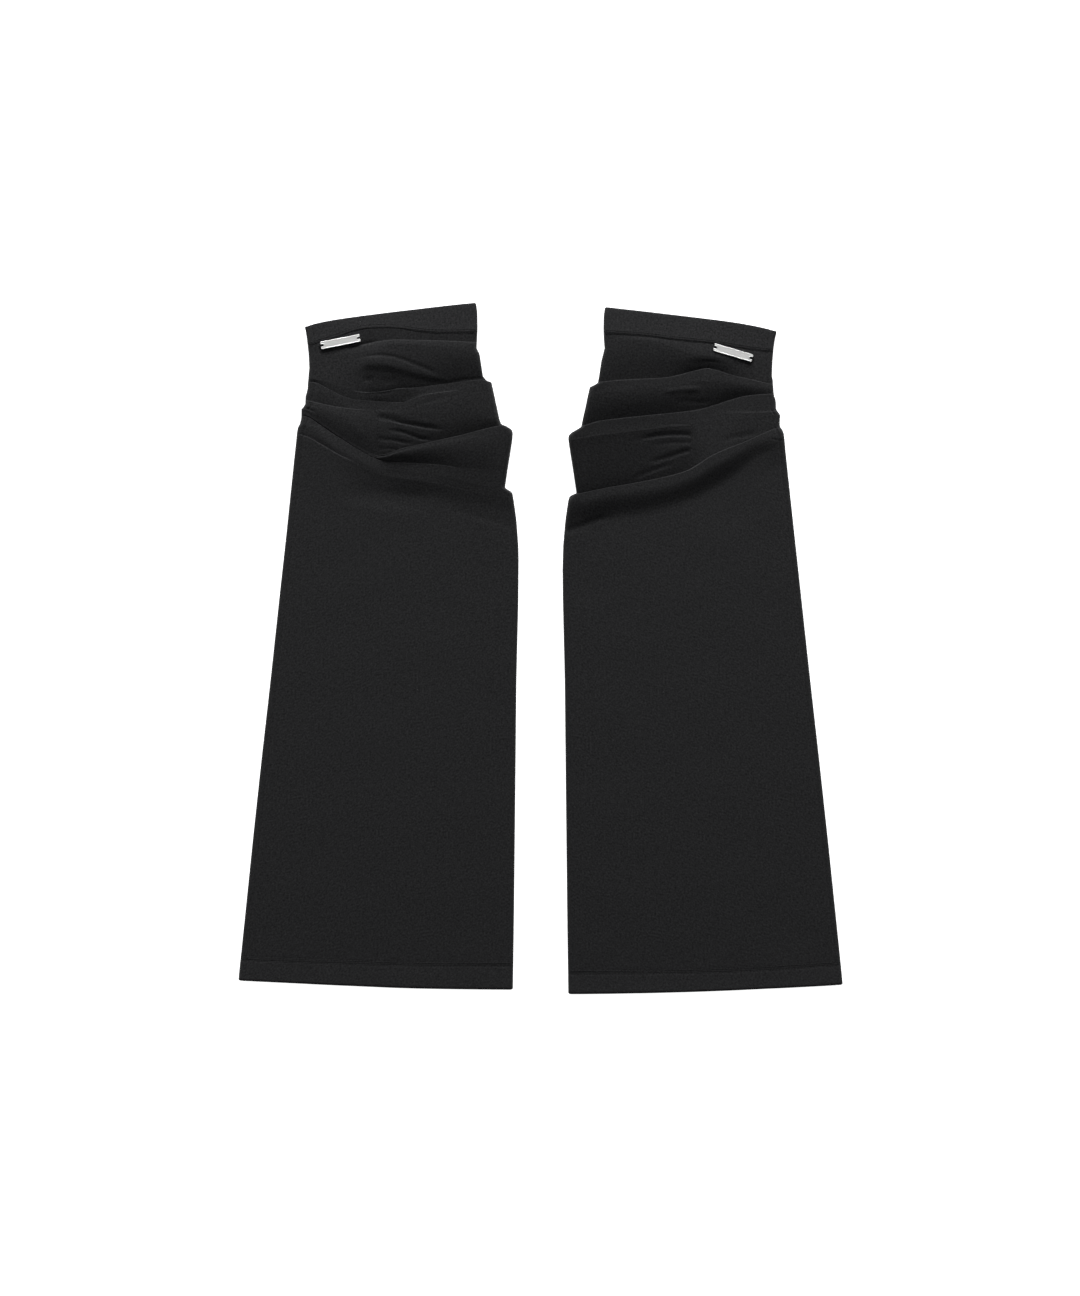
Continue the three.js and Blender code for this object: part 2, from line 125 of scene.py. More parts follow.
# %% Fold lines of the left leg warmer
WALL = 1.2
TURNED_WALL = 2.0
LEFT_FOLDS = [
    dict(at="top edge", wall=TURNED_WALL, step=3.8, path=[
        (305.2, 327.9, 4.8), (312, 325.3, 4.8), (330, 321.2, 4.7), (345, 318.8, 4.6), (380, 314.1, 4.6),
        (420, 309.3, 4.6), (460, 304.7, 4.6), (475.8, 303.2, 4.6)]),
    dict(at="turned band", wall=TURNED_WALL, wall_below=WALL, fold=0.12, path=[
        (307.8, 346, 6.4, 6.2), (322, 341.5, 6.7, 6.4), (340, 336, 6.75, 6.4), (354, 330.8, 6.8, 6.4),
        (367, 328.2, 7.0, 6.6), (385, 327.4, 7.2, 6.8), (400, 328.5, 7.3, 6.9), (420, 331.5, 7.4, 7.0),
        (440, 333, 7.4, 7.1), (476.8, 332.6, 7.4, 7.1)]),
    dict(at="first fold", fold=0.12, step=1.6, path=[
        (308.8, 353, 6.3, 6.3), (330, 350.4, 6.3, 6.3), (352, 347.4, 6.1, 6.4), (365, 344.2, 6.0, 6.7),
        (380, 341.4, 6.4, 7.5), (394, 340, 6.7, 8.0), (426, 340.4, 6.8, 8.2), (450, 341.2, 6.8, 8.2),
        (476.3, 342.4, 6.6, 7.8)]),
    dict(at="first fold, rounding", path=[
        (309.3, 358.5, 6.5), (330, 356.5, 6.6), (354, 352.8, 7.0), (365, 350, 7.6), (380, 347.4, 8.5),
        (394, 345, 8.9), (420, 345.4, 9.0), (440, 346.8, 8.9), (476.2, 348.4, 8.3)]),
    dict(at="pocket, rim", step=1.5, path=[
        (309.5, 367, 6.7), (340, 366.5, 6.8), (357, 365.5, 7.3), (368, 362.8, 8.7), (380, 362.4, 9.2),
        (392, 364.2, 9.0), (405, 368, 8.3), (420, 372.4, 7.5), (432, 375.8, 6.6), (445, 377.8, 5.6),
        (462, 376.8, 5.2), (482.4, 375, 5.0)]),
    dict(at="pocket, foot of the rim", path=[
        (309, 374, 6.8), (340, 375, 6.9), (358, 374.6, 6.9), (368, 371.8, 7.1), (380, 371.6, 7.2),
        (392, 373, 6.9), (405, 376.8, 6.2), (420, 380, 5.4), (432, 382, 4.7), (443, 382.8, 4.2),
        (460, 380.8, 4.2), (483.2, 378.4, 4.3)]),
    dict(at="pocket, inner end", fold=0.12, step=1.5, path=[
        (308.7, 378, 7.0, 7.0), (325, 381.6, 6.9, 6.9), (340, 386.4, 6.8, 6.8), (353, 390.6, 6.4, 6.4),
        (366, 392.4, 5.0, 5.8), (380, 391.8, 4.3, 6.0), (392, 389.8, 4.0, 6.0), (401, 388.2, 3.9, 5.8),
        (410, 388, 3.9, 5.9), (420, 387.2, 3.9, 7.1), (430, 386, 3.9, 9.0), (440, 384.8, 3.9, 10.6),
        (455, 383, 4.0, 11.4), (470, 381.2, 4.2, 11.8), (482, 380.2, 4.4, 11.8), (491.4, 383, 4.6, 11)]),
    dict(at="outer fold", fold=0.12, path=[
        (308.2, 381.4, 6.4, 7.0), (318, 383.2, 6.3, 7.2), (325, 387, 6.3, 7.4), (335, 392.6, 6.2, 7.6),
        (345, 397.2, 6.0, 8.0), (355, 399.8, 5.6, 8.6), (370, 401, 4.6, 9.4), (385, 402, 4.1, 9.9),
        (401, 402.6, 4.0, 10.4), (410, 400, 4.8, 10.7), (420, 396.4, 7.0, 11.0), (430, 394, 9.3, 11.2),
        (440, 392.6, 10.7, 11.4), (455, 391, 11.5, 11.6), (470, 390, 11.8, 11.8), (492.4, 389, 11.2, 11.2)]),
    dict(at="outer fold, rounding", path=[
        (306.6, 389.6, 7.1), (325, 393, 7.5), (338, 398.6, 7.8), (350, 402.4, 8.3), (370, 405, 9.3),
        (385, 406.4, 9.9), (401, 407, 10.5), (420, 404, 11.0), (440, 402, 11.3), (464, 401, 11.6),
        (494.8, 401, 10.9)]),
    dict(at="second outer fold", fold=0.12, step=1.5, path=[
        (305.6, 400, 6.8, 7.3), (322, 404.2, 6.8, 7.7), (335, 406.8, 7.2, 8.0), (350, 408.8, 8.2, 8.6),
        (362, 410, 8.9, 9.0), (380, 411, 9.8, 9.8), (400, 413, 10.5, 10.5), (420, 413.6, 10.8, 10.8),
        (440, 413, 11, 11), (464, 412, 11.1, 11.1), (497.8, 412, 10.5, 10.5)]),
    dict(at="second outer fold, rounding", step=1.1, back=0.6, path=[
        (303.8, 405.6, 7.6), (326, 410.6, 8.3), (338, 414, 8.8), (352, 418, 9.2), (366, 420.6, 9.6),
        (380, 421.6, 9.8), (400, 423, 10.0), (420, 423, 10.1), (440, 421, 10.4), (464, 419, 10.5),
        (499.2, 418.4, 10.1)]),
    dict(at="third fold", fold=0.12, step=1.5, path=[
        (301.8, 409.6, 7.3, 7.3), (320, 421, 6.9, 6.9), (338, 433.6, 6.7, 6.7), (354, 444.2, 6.5, 6.5),
        (368, 452.2, 6.3, 6.3), (376, 455.6, 6.3, 7.2), (383, 454.8, 6.6, 9.8), (400, 449, 7.1, 11.8),
        (420, 444.2, 7.2, 12.6), (440, 439.6, 7.4, 13.1), (460, 435, 7.8, 13.6), (480, 429.6, 8.3, 13.9),
        (500.9, 424.4, 8.8, 13.5)]),
    dict(at="third fold, rounding", step=1.6, path=[
        (301.8, 411.4, 7.2), (320, 422.8, 6.7), (338, 435.2, 6.5), (354, 445.8, 6.3), (368, 453.8, 6.2),
        (376, 457.4, 6.8), (383, 457.2, 9.5), (400, 452.4, 11.8), (420, 448.4, 12.8), (440, 445, 13.3),
        (460, 441.4, 13.8), (480, 437.4, 14.0), (512, 436, 12.8)]),
    dict(at="main trough", fold=0.12, step=1.6, back=0.9, path=[
        (301.6, 415, 6.7, 7.0), (310, 418, 6.4, 7.0), (320, 424.6, 6.1, 6.9), (330, 431.6, 5.9, 7.0),
        (340, 438, 5.9, 7.2), (350, 443.4, 5.9, 7.5), (360, 449, 5.9, 7.7), (370, 455, 6.0, 7.8),
        (380, 460.4, 6.8, 8.1), (400, 462.6, 8.4, 9.0), (420, 463.6, 9.1, 9.4), (440, 465.2, 9.6, 9.7),
        (460, 468.4, 10.0, 10.0), (480, 470, 10.3, 10.3), (506.6, 472, 10.0, 10.0)]),
    dict(at="lower body, rounding", path=[
        (298, 428.4, 7.3), (310, 432, 7.3), (320, 438, 7.3), (330, 444, 7.4), (340, 450, 7.5),
        (350, 455.4, 7.7), (360, 461, 7.9), (370, 466, 7.9), (380, 469.4, 7.9), (400, 472.8, 8.4),
        (420, 474.8, 8.8), (440, 478, 8.8), (460, 483, 8.7), (480, 487.4, 8.6), (504.4, 491, 8.4)]),
    dict(at="crease below the rounding", fold=0.15, step=2.5, back=0.5, path=[
        (297.2, 433.4, 6.8, 6.9), (310, 437.8, 6.7, 6.9), (320, 443.4, 6.6, 6.9), (330, 449.4, 6.7, 7.0),
        (340, 455.2, 6.9, 7.2), (350, 459.8, 7.3, 7.4), (360, 465.4, 7.5, 7.5), (370, 470.4, 7.5, 7.5),
        (380, 474, 7.5, 7.5), (400, 478, 8.0, 8.0), (420, 480.6, 8.3, 8.3), (440, 484, 8.1, 8.1),
        (460, 489, 7.9, 7.9), (480, 493, 7.9, 7.9), (512, 497, 7.7, 7.7)]),
    dict(at="slope to the body", step=3.8, path=[
        (295.2, 454, 6.0), (320, 467, 6.0), (350, 482, 5.8), (380, 491, 5.6), (400, 495, 5.6),
        (420, 498, 5.6), (440, 502, 5.7), (460, 507, 5.8), (480, 511, 5.8), (515.4, 517, 5.7)]),
    dict(at="body begins", step=5, back=0.3, path=[
        (289.4, 506, 5.2), (330, 516, 5.2), (370, 524, 5.2), (400, 528, 5.2), (440, 533, 5.2),
        (480, 539, 5.2), (517.8, 546, 5.1)]),
    dict(at="plain body", step=8.8, path=[
        (284.4, 554, 5.0), (340, 560, 5.1), (400, 566, 5.1), (460, 572, 5.0), (518, 578, 4.9)]),
    dict(at="below the knee", step=10, path=[
        (276.6, 625, 4.9), (340, 630, 5.1), (400, 634, 5.1), (460, 636, 5.1), (517.2, 640, 4.8)]),
    dict(at="calf", step=10, path=[
        (264, 739, 4.8), (340, 744, 5.1), (400, 746, 5.1), (460, 748, 5.1), (515.3, 750, 4.8)]),
    dict(at="flare", step=8.8, path=[
        (253, 840, 4.8), (340, 844, 5.1), (400, 846, 5.2), (460, 848, 5.1), (514.2, 850, 4.8)]),
    dict(at="above the hem", step=3.8, path=[
        (243.4, 934, 4.9), (330, 940, 5.1), (424, 943, 5.1), (513.2, 944, 4.9)]),
    dict(at="end of the single cloth", step=1, path=[
        (241.2, 954.6, 5.0), (334, 958, 5.1), (424, 960.4, 5.1), (513, 960.8, 5.0)]),
    dict(at="hem line", wall=TURNED_WALL, step=1, path=[
        (240.4, 962.4, 5.2), (334, 966, 5.3), (424, 968.2, 5.3), (512.8, 968.4, 5.2)]),
    dict(at="turned hem", wall=TURNED_WALL, step=3.8, path=[
        (239.8, 969, 5.6), (334, 972.6, 5.65), (424, 975.2, 5.65), (512.7, 975.8, 5.6)]),
    dict(at="hem edge", wall=TURNED_WALL, path=[
        (238.7, 980.4, 6.3), (255, 981.3, 6.3), (280, 982.5, 6.3), (320, 984.5, 6.3), (360, 986.3, 6.3),
        (400, 987.9, 6.3), (440, 988.9, 6.3), (480, 989.4, 6.3), (512.4, 989.6, 6.3)]),
]

# %% Fold lines of the right leg warmer
RIGHT_FOLDS = [
    dict(at="top edge", wall=TURNED_WALL, step=3.8, path=[
        (776.3, 332.2, 4.8), (770, 330.3, 4.8), (760, 327.8, 4.8), (740, 323.9, 4.7), (720, 321, 4.6),
        (680, 316.1, 4.6), (640, 311.4, 4.6), (605.2, 307.5, 4.6)]),
    dict(at="turned band", wall=TURNED_WALL, wall_below=WALL, fold=0.12, step=1.6, path=[
        (773, 352, 6.5, 6.2), (752, 350, 6.6, 6.3), (735, 347.2, 6.7, 6.4), (713.5, 343.6, 6.8, 6.4),
        (690, 341.4, 7.1, 6.7), (670, 339.2, 7.2, 6.8), (655, 337.2, 7.3, 6.9), (640, 335.7, 7.3, 6.9),
        (620, 334.2, 7.3, 6.9), (604.2, 333.4, 7.3, 6.9)]),
    dict(at="first fold, rounding", path=[
        (772.2, 360, 6.5), (752, 359.5, 6.6), (735, 358, 6.9), (720, 356.6, 7.2), (705, 354.6, 7.5),
        (693, 353, 7.7), (680, 349, 7.7), (668, 345, 7.6), (655, 341.6, 7.6), (640, 340, 7.5),
        (622, 341, 7.3), (604.8, 348, 6.8)]),
    dict(at="second fold", fold=0.12, step=1.8, back=0.6, path=[
        (772.6, 385, 6.3, 6.8), (755, 380.6, 6.0, 7.0), (740, 377.2, 5.5, 7.5), (728, 374, 4.9, 8.1),
        (716, 370, 4.5, 8.5), (707, 368.4, 4.3, 8.7), (695, 370.6, 4.1, 8.8), (680, 374.6, 4.0, 8.9),
        (665, 377.8, 4.0, 9.0), (640, 379.2, 4.0, 9.2), (620, 380.2, 4.1, 9.5), (599, 382.6, 4.3, 9.9)]),
    dict(at="second fold, rounding", step=1.8, path=[
        (773, 389.4, 7.0), (755, 386, 7.2), (740, 383.2, 7.7), (728, 380.8, 8.3), (716, 378.4, 8.7),
        (707, 377.4, 8.9), (695, 379.4, 8.9), (680, 382.4, 8.9), (665, 384.4, 9.0), (640, 386.2, 9.1),
        (620, 387.8, 9.4), (588.9, 390, 9.6)]),
    dict(at="third fold", fold=0.12, back=0.6, path=[
        (773.6, 393.6, 6.5, 7.2), (755, 394.8, 5.7, 7.6), (744, 396.2, 5.1, 8.2), (730, 400, 4.6, 9.0),
        (715, 405, 4.3, 9.8), (700, 409.4, 4.2, 10.4), (685, 411.8, 4.2, 10.8), (660, 414.4, 4.2, 11.5),
        (640, 416.4, 4.3, 12.0), (620, 418.6, 4.5, 12.4), (600, 421.2, 4.8, 12.8), (582, 426.4, 5.2, 12.6)]),
    dict(at="outer crease", fold=1.2, step=1.1, path=[
        (777.2, 411.2, 6.9, 7.3), (755, 412.4, 7.4, 7.7), (738, 412.6, 8.5, 8.7), (725, 414, 9.4, 9.4),
        (710, 418.4, 10.0, 10.0), (690, 424, 10.6, 10.6), (660, 427.6, 10.8, 10.8), (640, 430, 11.2, 11.2),
        (620, 432.4, 11.6, 11.6), (600, 435, 11.9, 11.9), (568.9, 440.4, 11.6, 11.6)]),
    dict(at="fourth fold", fold=0.12, step=1.6, back=0.8, path=[
        (779.8, 426.6, 6.8, 7.4), (770, 430, 6.9, 7.9), (755, 436.8, 6.9, 8.4), (745, 441.4, 7.3, 9.1),
        (735, 445.4, 8.2, 9.7), (722, 450.6, 9.3, 10.1), (708, 457.6, 9.5, 10.2), (698, 464.4, 8.6, 10.0),
        (688, 470.2, 6.2, 9.8), (670, 475.8, 4.8, 9.5), (650, 480.2, 4.2, 9.4), (630, 484, 4.0, 9.6),
        (610, 487.4, 4.0, 10.0), (590, 491.6, 4.1, 10.5), (577.2, 494.2, 4.3, 10.3)]),
    dict(at="fourth fold, rounding", step=1.9, path=[
        (782.8, 433, 7.7), (770, 437, 8.2), (755, 442, 8.4), (745, 446.6, 9.1), (735, 451.2, 9.7),
        (722, 458.4, 10.1), (708, 466.4, 10.0), (698, 473, 9.8), (688, 478, 9.6), (670, 483.4, 9.4),
        (650, 487.4, 9.4), (630, 490.4, 9.6), (610, 493, 10.0), (590, 496.8, 10.4), (568.8, 500.4, 10.1)]),
    dict(at="main trough", step=2.8, back=0.4, path=[
        (784.6, 446, 6.8), (770, 452, 6.4), (755, 459, 5.9), (745, 468, 5.5), (735, 476.4, 5.2),
        (722, 485, 5.0), (708, 493, 5.0), (698, 498, 5.0), (688, 502, 5.0), (670, 508, 5.0),
        (650, 513.6, 5.0), (630, 518, 5.0), (610, 521, 5.1), (590, 527, 5.3), (564.9, 534, 5.5)]),
    dict(at="body begins", step=4.4, back=0.2, path=[
        (786.8, 466, 5.2), (770, 477, 5.0), (745, 494, 4.9), (720, 508, 4.9), (690, 522, 4.9),
        (650, 536, 4.9), (610, 546, 5.0), (563.6, 556, 5.1)]),
    dict(at="plain body", step=8.8, path=[
        (792.7, 520, 5.0), (740, 544, 5.1), (680, 564, 5.1), (620, 580, 5.0), (563.1, 594, 4.9)]),
    dict(at="below the knee", step=10, path=[
        (804.1, 625, 4.9), (740, 632, 5.1), (680, 636, 5.1), (620, 640, 5.1), (564.3, 644, 4.8)]),
    dict(at="calf", step=10, path=[
        (817, 741, 4.8), (740, 746, 5.1), (680, 748, 5.1), (620, 750, 5.1), (566, 752, 4.8)]),
    dict(at="flare", step=8.8, path=[
        (828, 842, 4.8), (740, 846, 5.1), (680, 848, 5.2), (620, 850, 5.1), (567, 852, 4.8)]),
    dict(at="above the hem", step=3.8, path=[
        (837.9, 938, 4.9), (730, 946, 5.1), (640, 948, 5.1), (568, 949, 4.9)]),
    dict(at="end of the single cloth", step=1, path=[
        (840.2, 960, 5.0), (728, 967, 5.1), (640, 968.6, 5.1), (568.3, 968.8, 5.0)]),
    dict(at="hem line", wall=TURNED_WALL, step=1, path=[
        (840.9, 967.6, 5.2), (728, 974.6, 5.3), (640, 976.2, 5.3), (568.5, 976.4, 5.2)]),
    dict(at="turned hem", wall=TURNED_WALL, step=3.8, path=[
        (841.6, 974, 5.6), (728, 981.4, 5.65), (640, 983.6, 5.65), (568.6, 983.8, 5.6)]),
    dict(at="hem edge", wall=TURNED_WALL, path=[
        (842.6, 984.5, 6.3), (830, 985.4, 6.3), (800, 987.1, 6.3), (760, 989, 6.3), (720, 990.8, 6.3),
        (680, 992.2, 6.3), (640, 993.1, 6.3), (600, 993.8, 6.3), (568.8, 994, 6.3)]),
]

# %% [markdown]
# Finer creases run over these folds: furrows that fan out from the gathering line, wrinkles in
# the pocket, and the lines of stitching. Each one is a path in pixels of the photograph, with the
# lift of its middle in mm, below 0 for a furrow, how far it reaches above and below its path in
# mm, and the shares of its length over which it fades in and out. sharp is 1 for a pinched line.
# The columns are named once, and each row becomes a dictionary with these names below.
# A pleat is gentle above its furrow and steep below it, because the next one lies over it there.

# %% Creases of the left leg warmer
CREASE_COLUMNS = ("what", "lift", "above", "below", "fade_in", "fade_out", "sharp", "path")
LEFT_CREASES = [
    ("stitch line of the band", -0.2, 1.3, 0.7, 0.01, 0.01, 0.5, [
        (307, 346), (322, 341.5), (340, 336), (354, 330.8), (367, 328.2), (385, 327.4), (400, 328.5),
        (420, 331.5), (440, 333), (477, 332.6)]),
    ("furrow from under the bar", -0.7, 3.0, 1.4, 0.2, 0.4, 0.4, [
        (346, 349), (356, 346.6), (368, 343.6), (384, 341)]),
    ("thin furrow over the pocket", -0.65, 3.4, 1.6, 0.25, 0.2, 0.4, [
        (354, 359), (368, 356.6), (380, 355.6), (392, 357), (404, 360.6), (418, 366), (430, 371),
        (443, 377)]),
    ("nick beside the pocket", -0.8, 2.6, 1.2, 0.3, 0.4, 0.4, [
        (362, 379.6), (368, 378.8), (376, 378)]),
    ("wrinkle in the pocket", -0.5, 2.6, 1.4, 0.3, 0.4, 0.3, [
        (376, 383.6), (390, 380.6), (402, 380)]),
    ("pocket floor crease", -0.4, 3.4, 1.0, 0.15, 0.3, 0.5, [
        (366, 394.2), (374, 393.8), (383, 393.4), (392, 391.4), (399, 388)]),
    ("thin crease under the pocket", -0.3, 2.8, 1.0, 0.3, 0.4, 0.5, [
        (400, 399.8), (410, 397.6), (420, 394.6), (434, 390.6)]),
    ("faint crease on the second fold", -0.3, 3.4, 2.0, 0.4, 0.5, 0.3, [
        (412, 407), (426, 403.6), (440, 399.4), (456, 395)]),
    ("first gather", -1.05, 5.4, 0.9, 0.03, 0.3, 0.6, [
        (377.6, 418.6), (390, 420.8), (400, 423.4), (415, 426.2), (430, 428.8), (448, 431)]),
    ("ridge over the first gather", 0.2, 2.4, 2.0, 0.03, 0.6, 0, [
        (377.4, 412.4), (390, 413), (403, 415.6), (420, 420)]),
    ("second gather", -0.85, 4.2, 0.9, 0.3, 0.3, 0.6, [
        (384, 431), (398, 432.4), (410, 435.6), (421, 439.4), (436, 441.4)]),
    ("third gather", -0.65, 3.4, 0.9, 0.03, 0.4, 0.6, [
        (378.4, 440), (390, 440.6), (402, 442.8), (416, 445)]),
    ("fourth gather", -0.3, 2.2, 0.9, 0.03, 0.4, 0.6, [
        (379, 448.6), (388, 449), (402, 451)]),
    ("gathering line", -0.25, 1.2, 1.2, 0.15, 0.05, 0.5, [
        (366.6, 352), (369, 378), (372, 396), (376.4, 409), (377.6, 420), (378.2, 440), (379.4, 455)]),
    ("slack beside the gathering line", 0.25, 5, 6, 0.3, 0.3, 0, [
        (352, 420), (358, 430), (365, 440)]),
    ("tuck at the outer edge", -0.4, 2.5, 1.2, 0.02, 0.5, 0.5, [
        (302, 407.6), (310, 410), (318, 414)]),
    ("light end of the lower rounding", 0.35, 6, 5, 0.02, 0.5, 0, [
        (300, 424), (310, 427), (324, 437), (338, 446)]),
    ("wide hollow under the folds", -0.65, 12, 14, 0.35, 0.35, 0, [
        (330, 486), (360, 494), (395, 499), (440, 503)]),
    ("drag line to the inner edge", -0.25, 7, 5, 0.4, 0.1, 0, [
        (440, 504), (470, 515), (500, 522), (517, 527)]),
    ("stitch line of the hem", -0.4, 1.1, 1.0, 0.01, 0.01, 0.5, [
        (239, 960.4), (334, 963.8), (424, 966.2), (514, 966.4)]),
    ("upper stitch line of the hem", -0.22, 0.9, 0.9, 0.01, 0.3, 0.5, [
        (239, 956.6), (334, 960.2), (424, 962.8), (514, 963)]),
    ("pucker over the hem", -0.12, 2.2, 2.6, 0.3, 0.5, 0, [
        (249, 934), (268, 936), (292, 941)]),
    ("second pucker over the hem", -0.12, 2.2, 2.6, 0.3, 0.5, 0, [
        (262, 946), (280, 949), (312, 951)]),
]

# %% Creases of the right leg warmer
RIGHT_CREASES = [
    ("stitch line of the band", -0.2, 1.3, 0.7, 0.01, 0.01, 0.5, [
        (774, 352), (752, 350), (735, 347.2), (713.5, 343.6), (690, 341.4), (670, 339.2), (655, 337.2),
        (640, 335.7), (620, 334.2), (603.6, 333.4)]),
    ("furrow under the band", -0.15, 4.4, 1.2, 0.35, 0.3, 0.4, [
        (658, 342), (672, 345.4), (686, 350.4), (700, 354)]),
    ("hollow under the bar", -0.2, 4.4, 4, 0.4, 0.3, 0, [
        (678, 365), (694, 362.4), (710, 363), (726, 366.4)]),
    ("streak in the hollow", -0.3, 2.4, 1.0, 0.4, 0.4, 0.4, [
        (696, 362), (708, 361.6), (726, 364)]),
    ("small fold", 0.85, 2.6, 1.6, 0.25, 0.15, 0.2, [
        (662, 392.4), (672, 391.2), (684, 389.8), (694, 389.2), (702, 391)]),
    ("wrinkle in the third hollow", -0.55, 2.6, 1.4, 0.3, 0.3, 0.3, [
        (672, 403.4), (686, 401.6), (700, 402.6), (714, 401)]),
    ("soft streak of the second fold", 0.15, 2.5, 2.5, 0.4, 0.4, 0, [
        (690, 383), (706, 381.4), (722, 382.4)]),
    ("upper gather", -0.25, 3.0, 1.2, 0.45, 0.02, 0.5, [
        (654, 426.4), (668, 424.6), (690.6, 425)]),
    ("first gather", -0.9, 5.4, 0.9, 0.4, 0.02, 0.6, [
        (632, 443), (645, 439.4), (658, 436.8), (672, 435.6), (691, 436)]),
    ("second gather", -0.45, 3.4, 0.9, 0.45, 0.02, 0.6, [
        (648, 447), (660, 445), (672, 443.4), (691, 443.2)]),
    ("third gather", -0.85, 4.6, 0.9, 0.4, 0.02, 0.6, [
        (646, 464.4), (660, 460.6), (675, 456), (691, 451.2)]),
    ("ridge over the third gather", 0.2, 1.8, 1.6, 0.5, 0.02, 0, [
        (654, 455.6), (670, 450), (690.6, 445.6)]),
    ("fourth gather", -0.4, 5.0, 2.2, 0.45, 0.4, 0.3, [
        (626, 482), (644, 474.6), (660, 468.4), (680, 463)]),
    ("gathering line", -0.25, 1.2, 1.2, 0.15, 0.05, 0.5, [
        (693, 412), (691.4, 424), (691, 440), (691.2, 458), (692, 473)]),
    ("slack beyond the gathering line", 0.25, 5, 5, 0.3, 0.3, 0, [
        (699, 424), (699, 440), (701, 456)]),
    ("wrinkle over the fourth fold", -0.35, 5, 3, 0.4, 0.3, 0, [
        (718, 443), (732, 438.6), (746, 435.8), (762, 431)]),
    ("tuck at the outer edge", -0.25, 2, 1.2, 0.5, 0.02, 0.5, [
        (764, 437.6), (774, 439.8), (786, 441.6)]),
    ("drag line to the inner edge", -0.5, 5, 4, 0.05, 0.5, 0, [
        (566, 532), (580, 527), (600, 519), (624, 516)]),
    ("stitch line of the hem", -0.4, 1.1, 1.0, 0.01, 0.01, 0.5, [
        (842, 965.4), (728, 972.4), (640, 974), (567, 974.2)]),
    ("upper stitch line of the hem", -0.22, 0.9, 0.9, 0.01, 0.3, 0.5, [
        (841.6, 961.8), (728, 968.8), (640, 970.6), (567, 970.8)]),
    ("pucker over the hem", -0.12, 2.2, 2.6, 0.5, 0.3, 0, [
        (780, 945), (806, 940), (830, 938)]),
    ("second pucker over the hem", -0.12, 2.2, 2.6, 0.5, 0.3, 0, [
        (764, 957), (796, 955), (824, 950)]),
]

# %% Both leg warmers
LEGS = [
    dict(name="left", side=-1, seam_in=6.5, folds=LEFT_FOLDS, rows=LEFT_CREASES, seed=11,
         outer_edge=LEFT_OUTER_EDGE, inner_edge=LEFT_INNER_EDGE),
    dict(name="right", side=1, seam_in=5.5, folds=RIGHT_FOLDS, rows=RIGHT_CREASES, seed=23,
         outer_edge=RIGHT_OUTER_EDGE, inner_edge=RIGHT_INNER_EDGE),
]
for leg in LEGS:
    leg["creases"] = [dict(zip(CREASE_COLUMNS, row)) for row in leg["rows"]]
    print(leg["name"], "leg warmer:", len(leg["folds"]), "fold lines,", len(leg["creases"]), "creases")

# %% [markdown]
# Both kinds of line need a curve through a few points. A plain cubic swings past its points,
# which would add ripples that the cloth doesn't have. This one keeps each stretch between the
# values at its ends, as a hand-drawn line does.

# %% A smooth curve through a few values


def soft_slopes(step, rate):
    """Slopes at the knots of a curve, from the steps between them and the straight slopes over
    these: the weighted harmonic mean of the slopes before and after a knot, or 0 where they have
    opposite signs, and the straight slope itself at both ends."""
    before, after = rate[:-1], rate[1:]
    same = before * after > 0
    near_before, near_after = step[:-1] + 2 * step[1:], 2 * step[:-1] + step[1:]
    mean = (near_before + near_after) / (
        near_before / np.where(same, before, 1) + near_after / np.where(same, after, 1))
    return np.concatenate([rate[:1], np.where(same, mean, 0), rate[-1:]])


def cubic(start, end, gap, slope_start, slope_end, part):
    """The cubic between two values a gap apart, with a slope at each end: with p for part,
    start + (end - start) p^2 (3 - 2p) + gap (slope_start p (1 - p)^2 - slope_end p^2 (1 - p))."""
    return (start + (end - start) * part**2 * (3 - 2 * part)
            + gap * slope_start * part * (1 - part)**2 - gap * slope_end * part**2 * (1 - part))


def smooth_through(knots, values, at):
    """The values at the places in at of the curve through some knots: a cubic between each two
    of them, with soft slopes."""
    knots, values = np.asarray(knots, float), np.asarray(values, float)
    step = np.diff(knots)
    slope = soft_slopes(step, np.diff(values) / step)
    cell = np.clip(np.searchsorted(knots, at, side="right") - 1, 0, len(step) - 1)
    part = np.clip((at - knots[cell]) / step[cell], 0, 1)
    return cubic(values[cell], values[cell + 1], step[cell], slope[cell], slope[cell + 1], part)


def length_along(across, down):
    """How far each point of a path lies along it: the sum of the straight ways before it."""
    return np.concatenate([[0], np.cumsum(np.hypot(np.diff(across), np.diff(down)))])


def outline_at(edge, down):
    """How far an edge lies from the pair's middle at some distances down: straight lines between
    the edge's points."""
    across, at = on_table(edge)
    return np.interp(down, at, across)


# %% [markdown]
# The front is a grid. Its columns lie closer together near the outer edge, where the side seam
# runs, and its rows follow the fold lines, so that the mesh's edges run along each crest and
# foot. A grid of equal squares would need far more faces for crests as sharp as these.

# %% Columns and rows of the front
EDGE_ZONE = 10.0
ZONE_STRIPS = 14
FRONT_STRIPS = 122
ROLL_STRIPS = 8
BACK_STRIPS = 20
WIDEST_ROLL = 4.0
FOLD_STEP = 2.0
SMALLEST_STEP = 0.1
TUCK_STEP = 0.2
CROWDING = 0.6
INTO_TUCK = 1.45
OVER_EDGE = 1.2

zone_share = np.concatenate([np.linspace(0, 1, ZONE_STRIPS + 1), np.ones(FRONT_STRIPS)])
front_share = np.concatenate([np.zeros(ZONE_STRIPS + 1), np.linspace(0, 1, FRONT_STRIPS + 1)[1:]])


def inside_edge(width, outer_roll, inner_roll):
    """How far each column of the front lies inside the outer edge: the zone's columns share the
    way from the outer roll to the zone's end, and the others the way from there to the inner
    roll. The three arguments have one value for each row."""
    start = outer_roll + (EDGE_ZONE - outer_roll) * zone_share
    return start + (width - EDGE_ZONE - inner_roll) * front_share


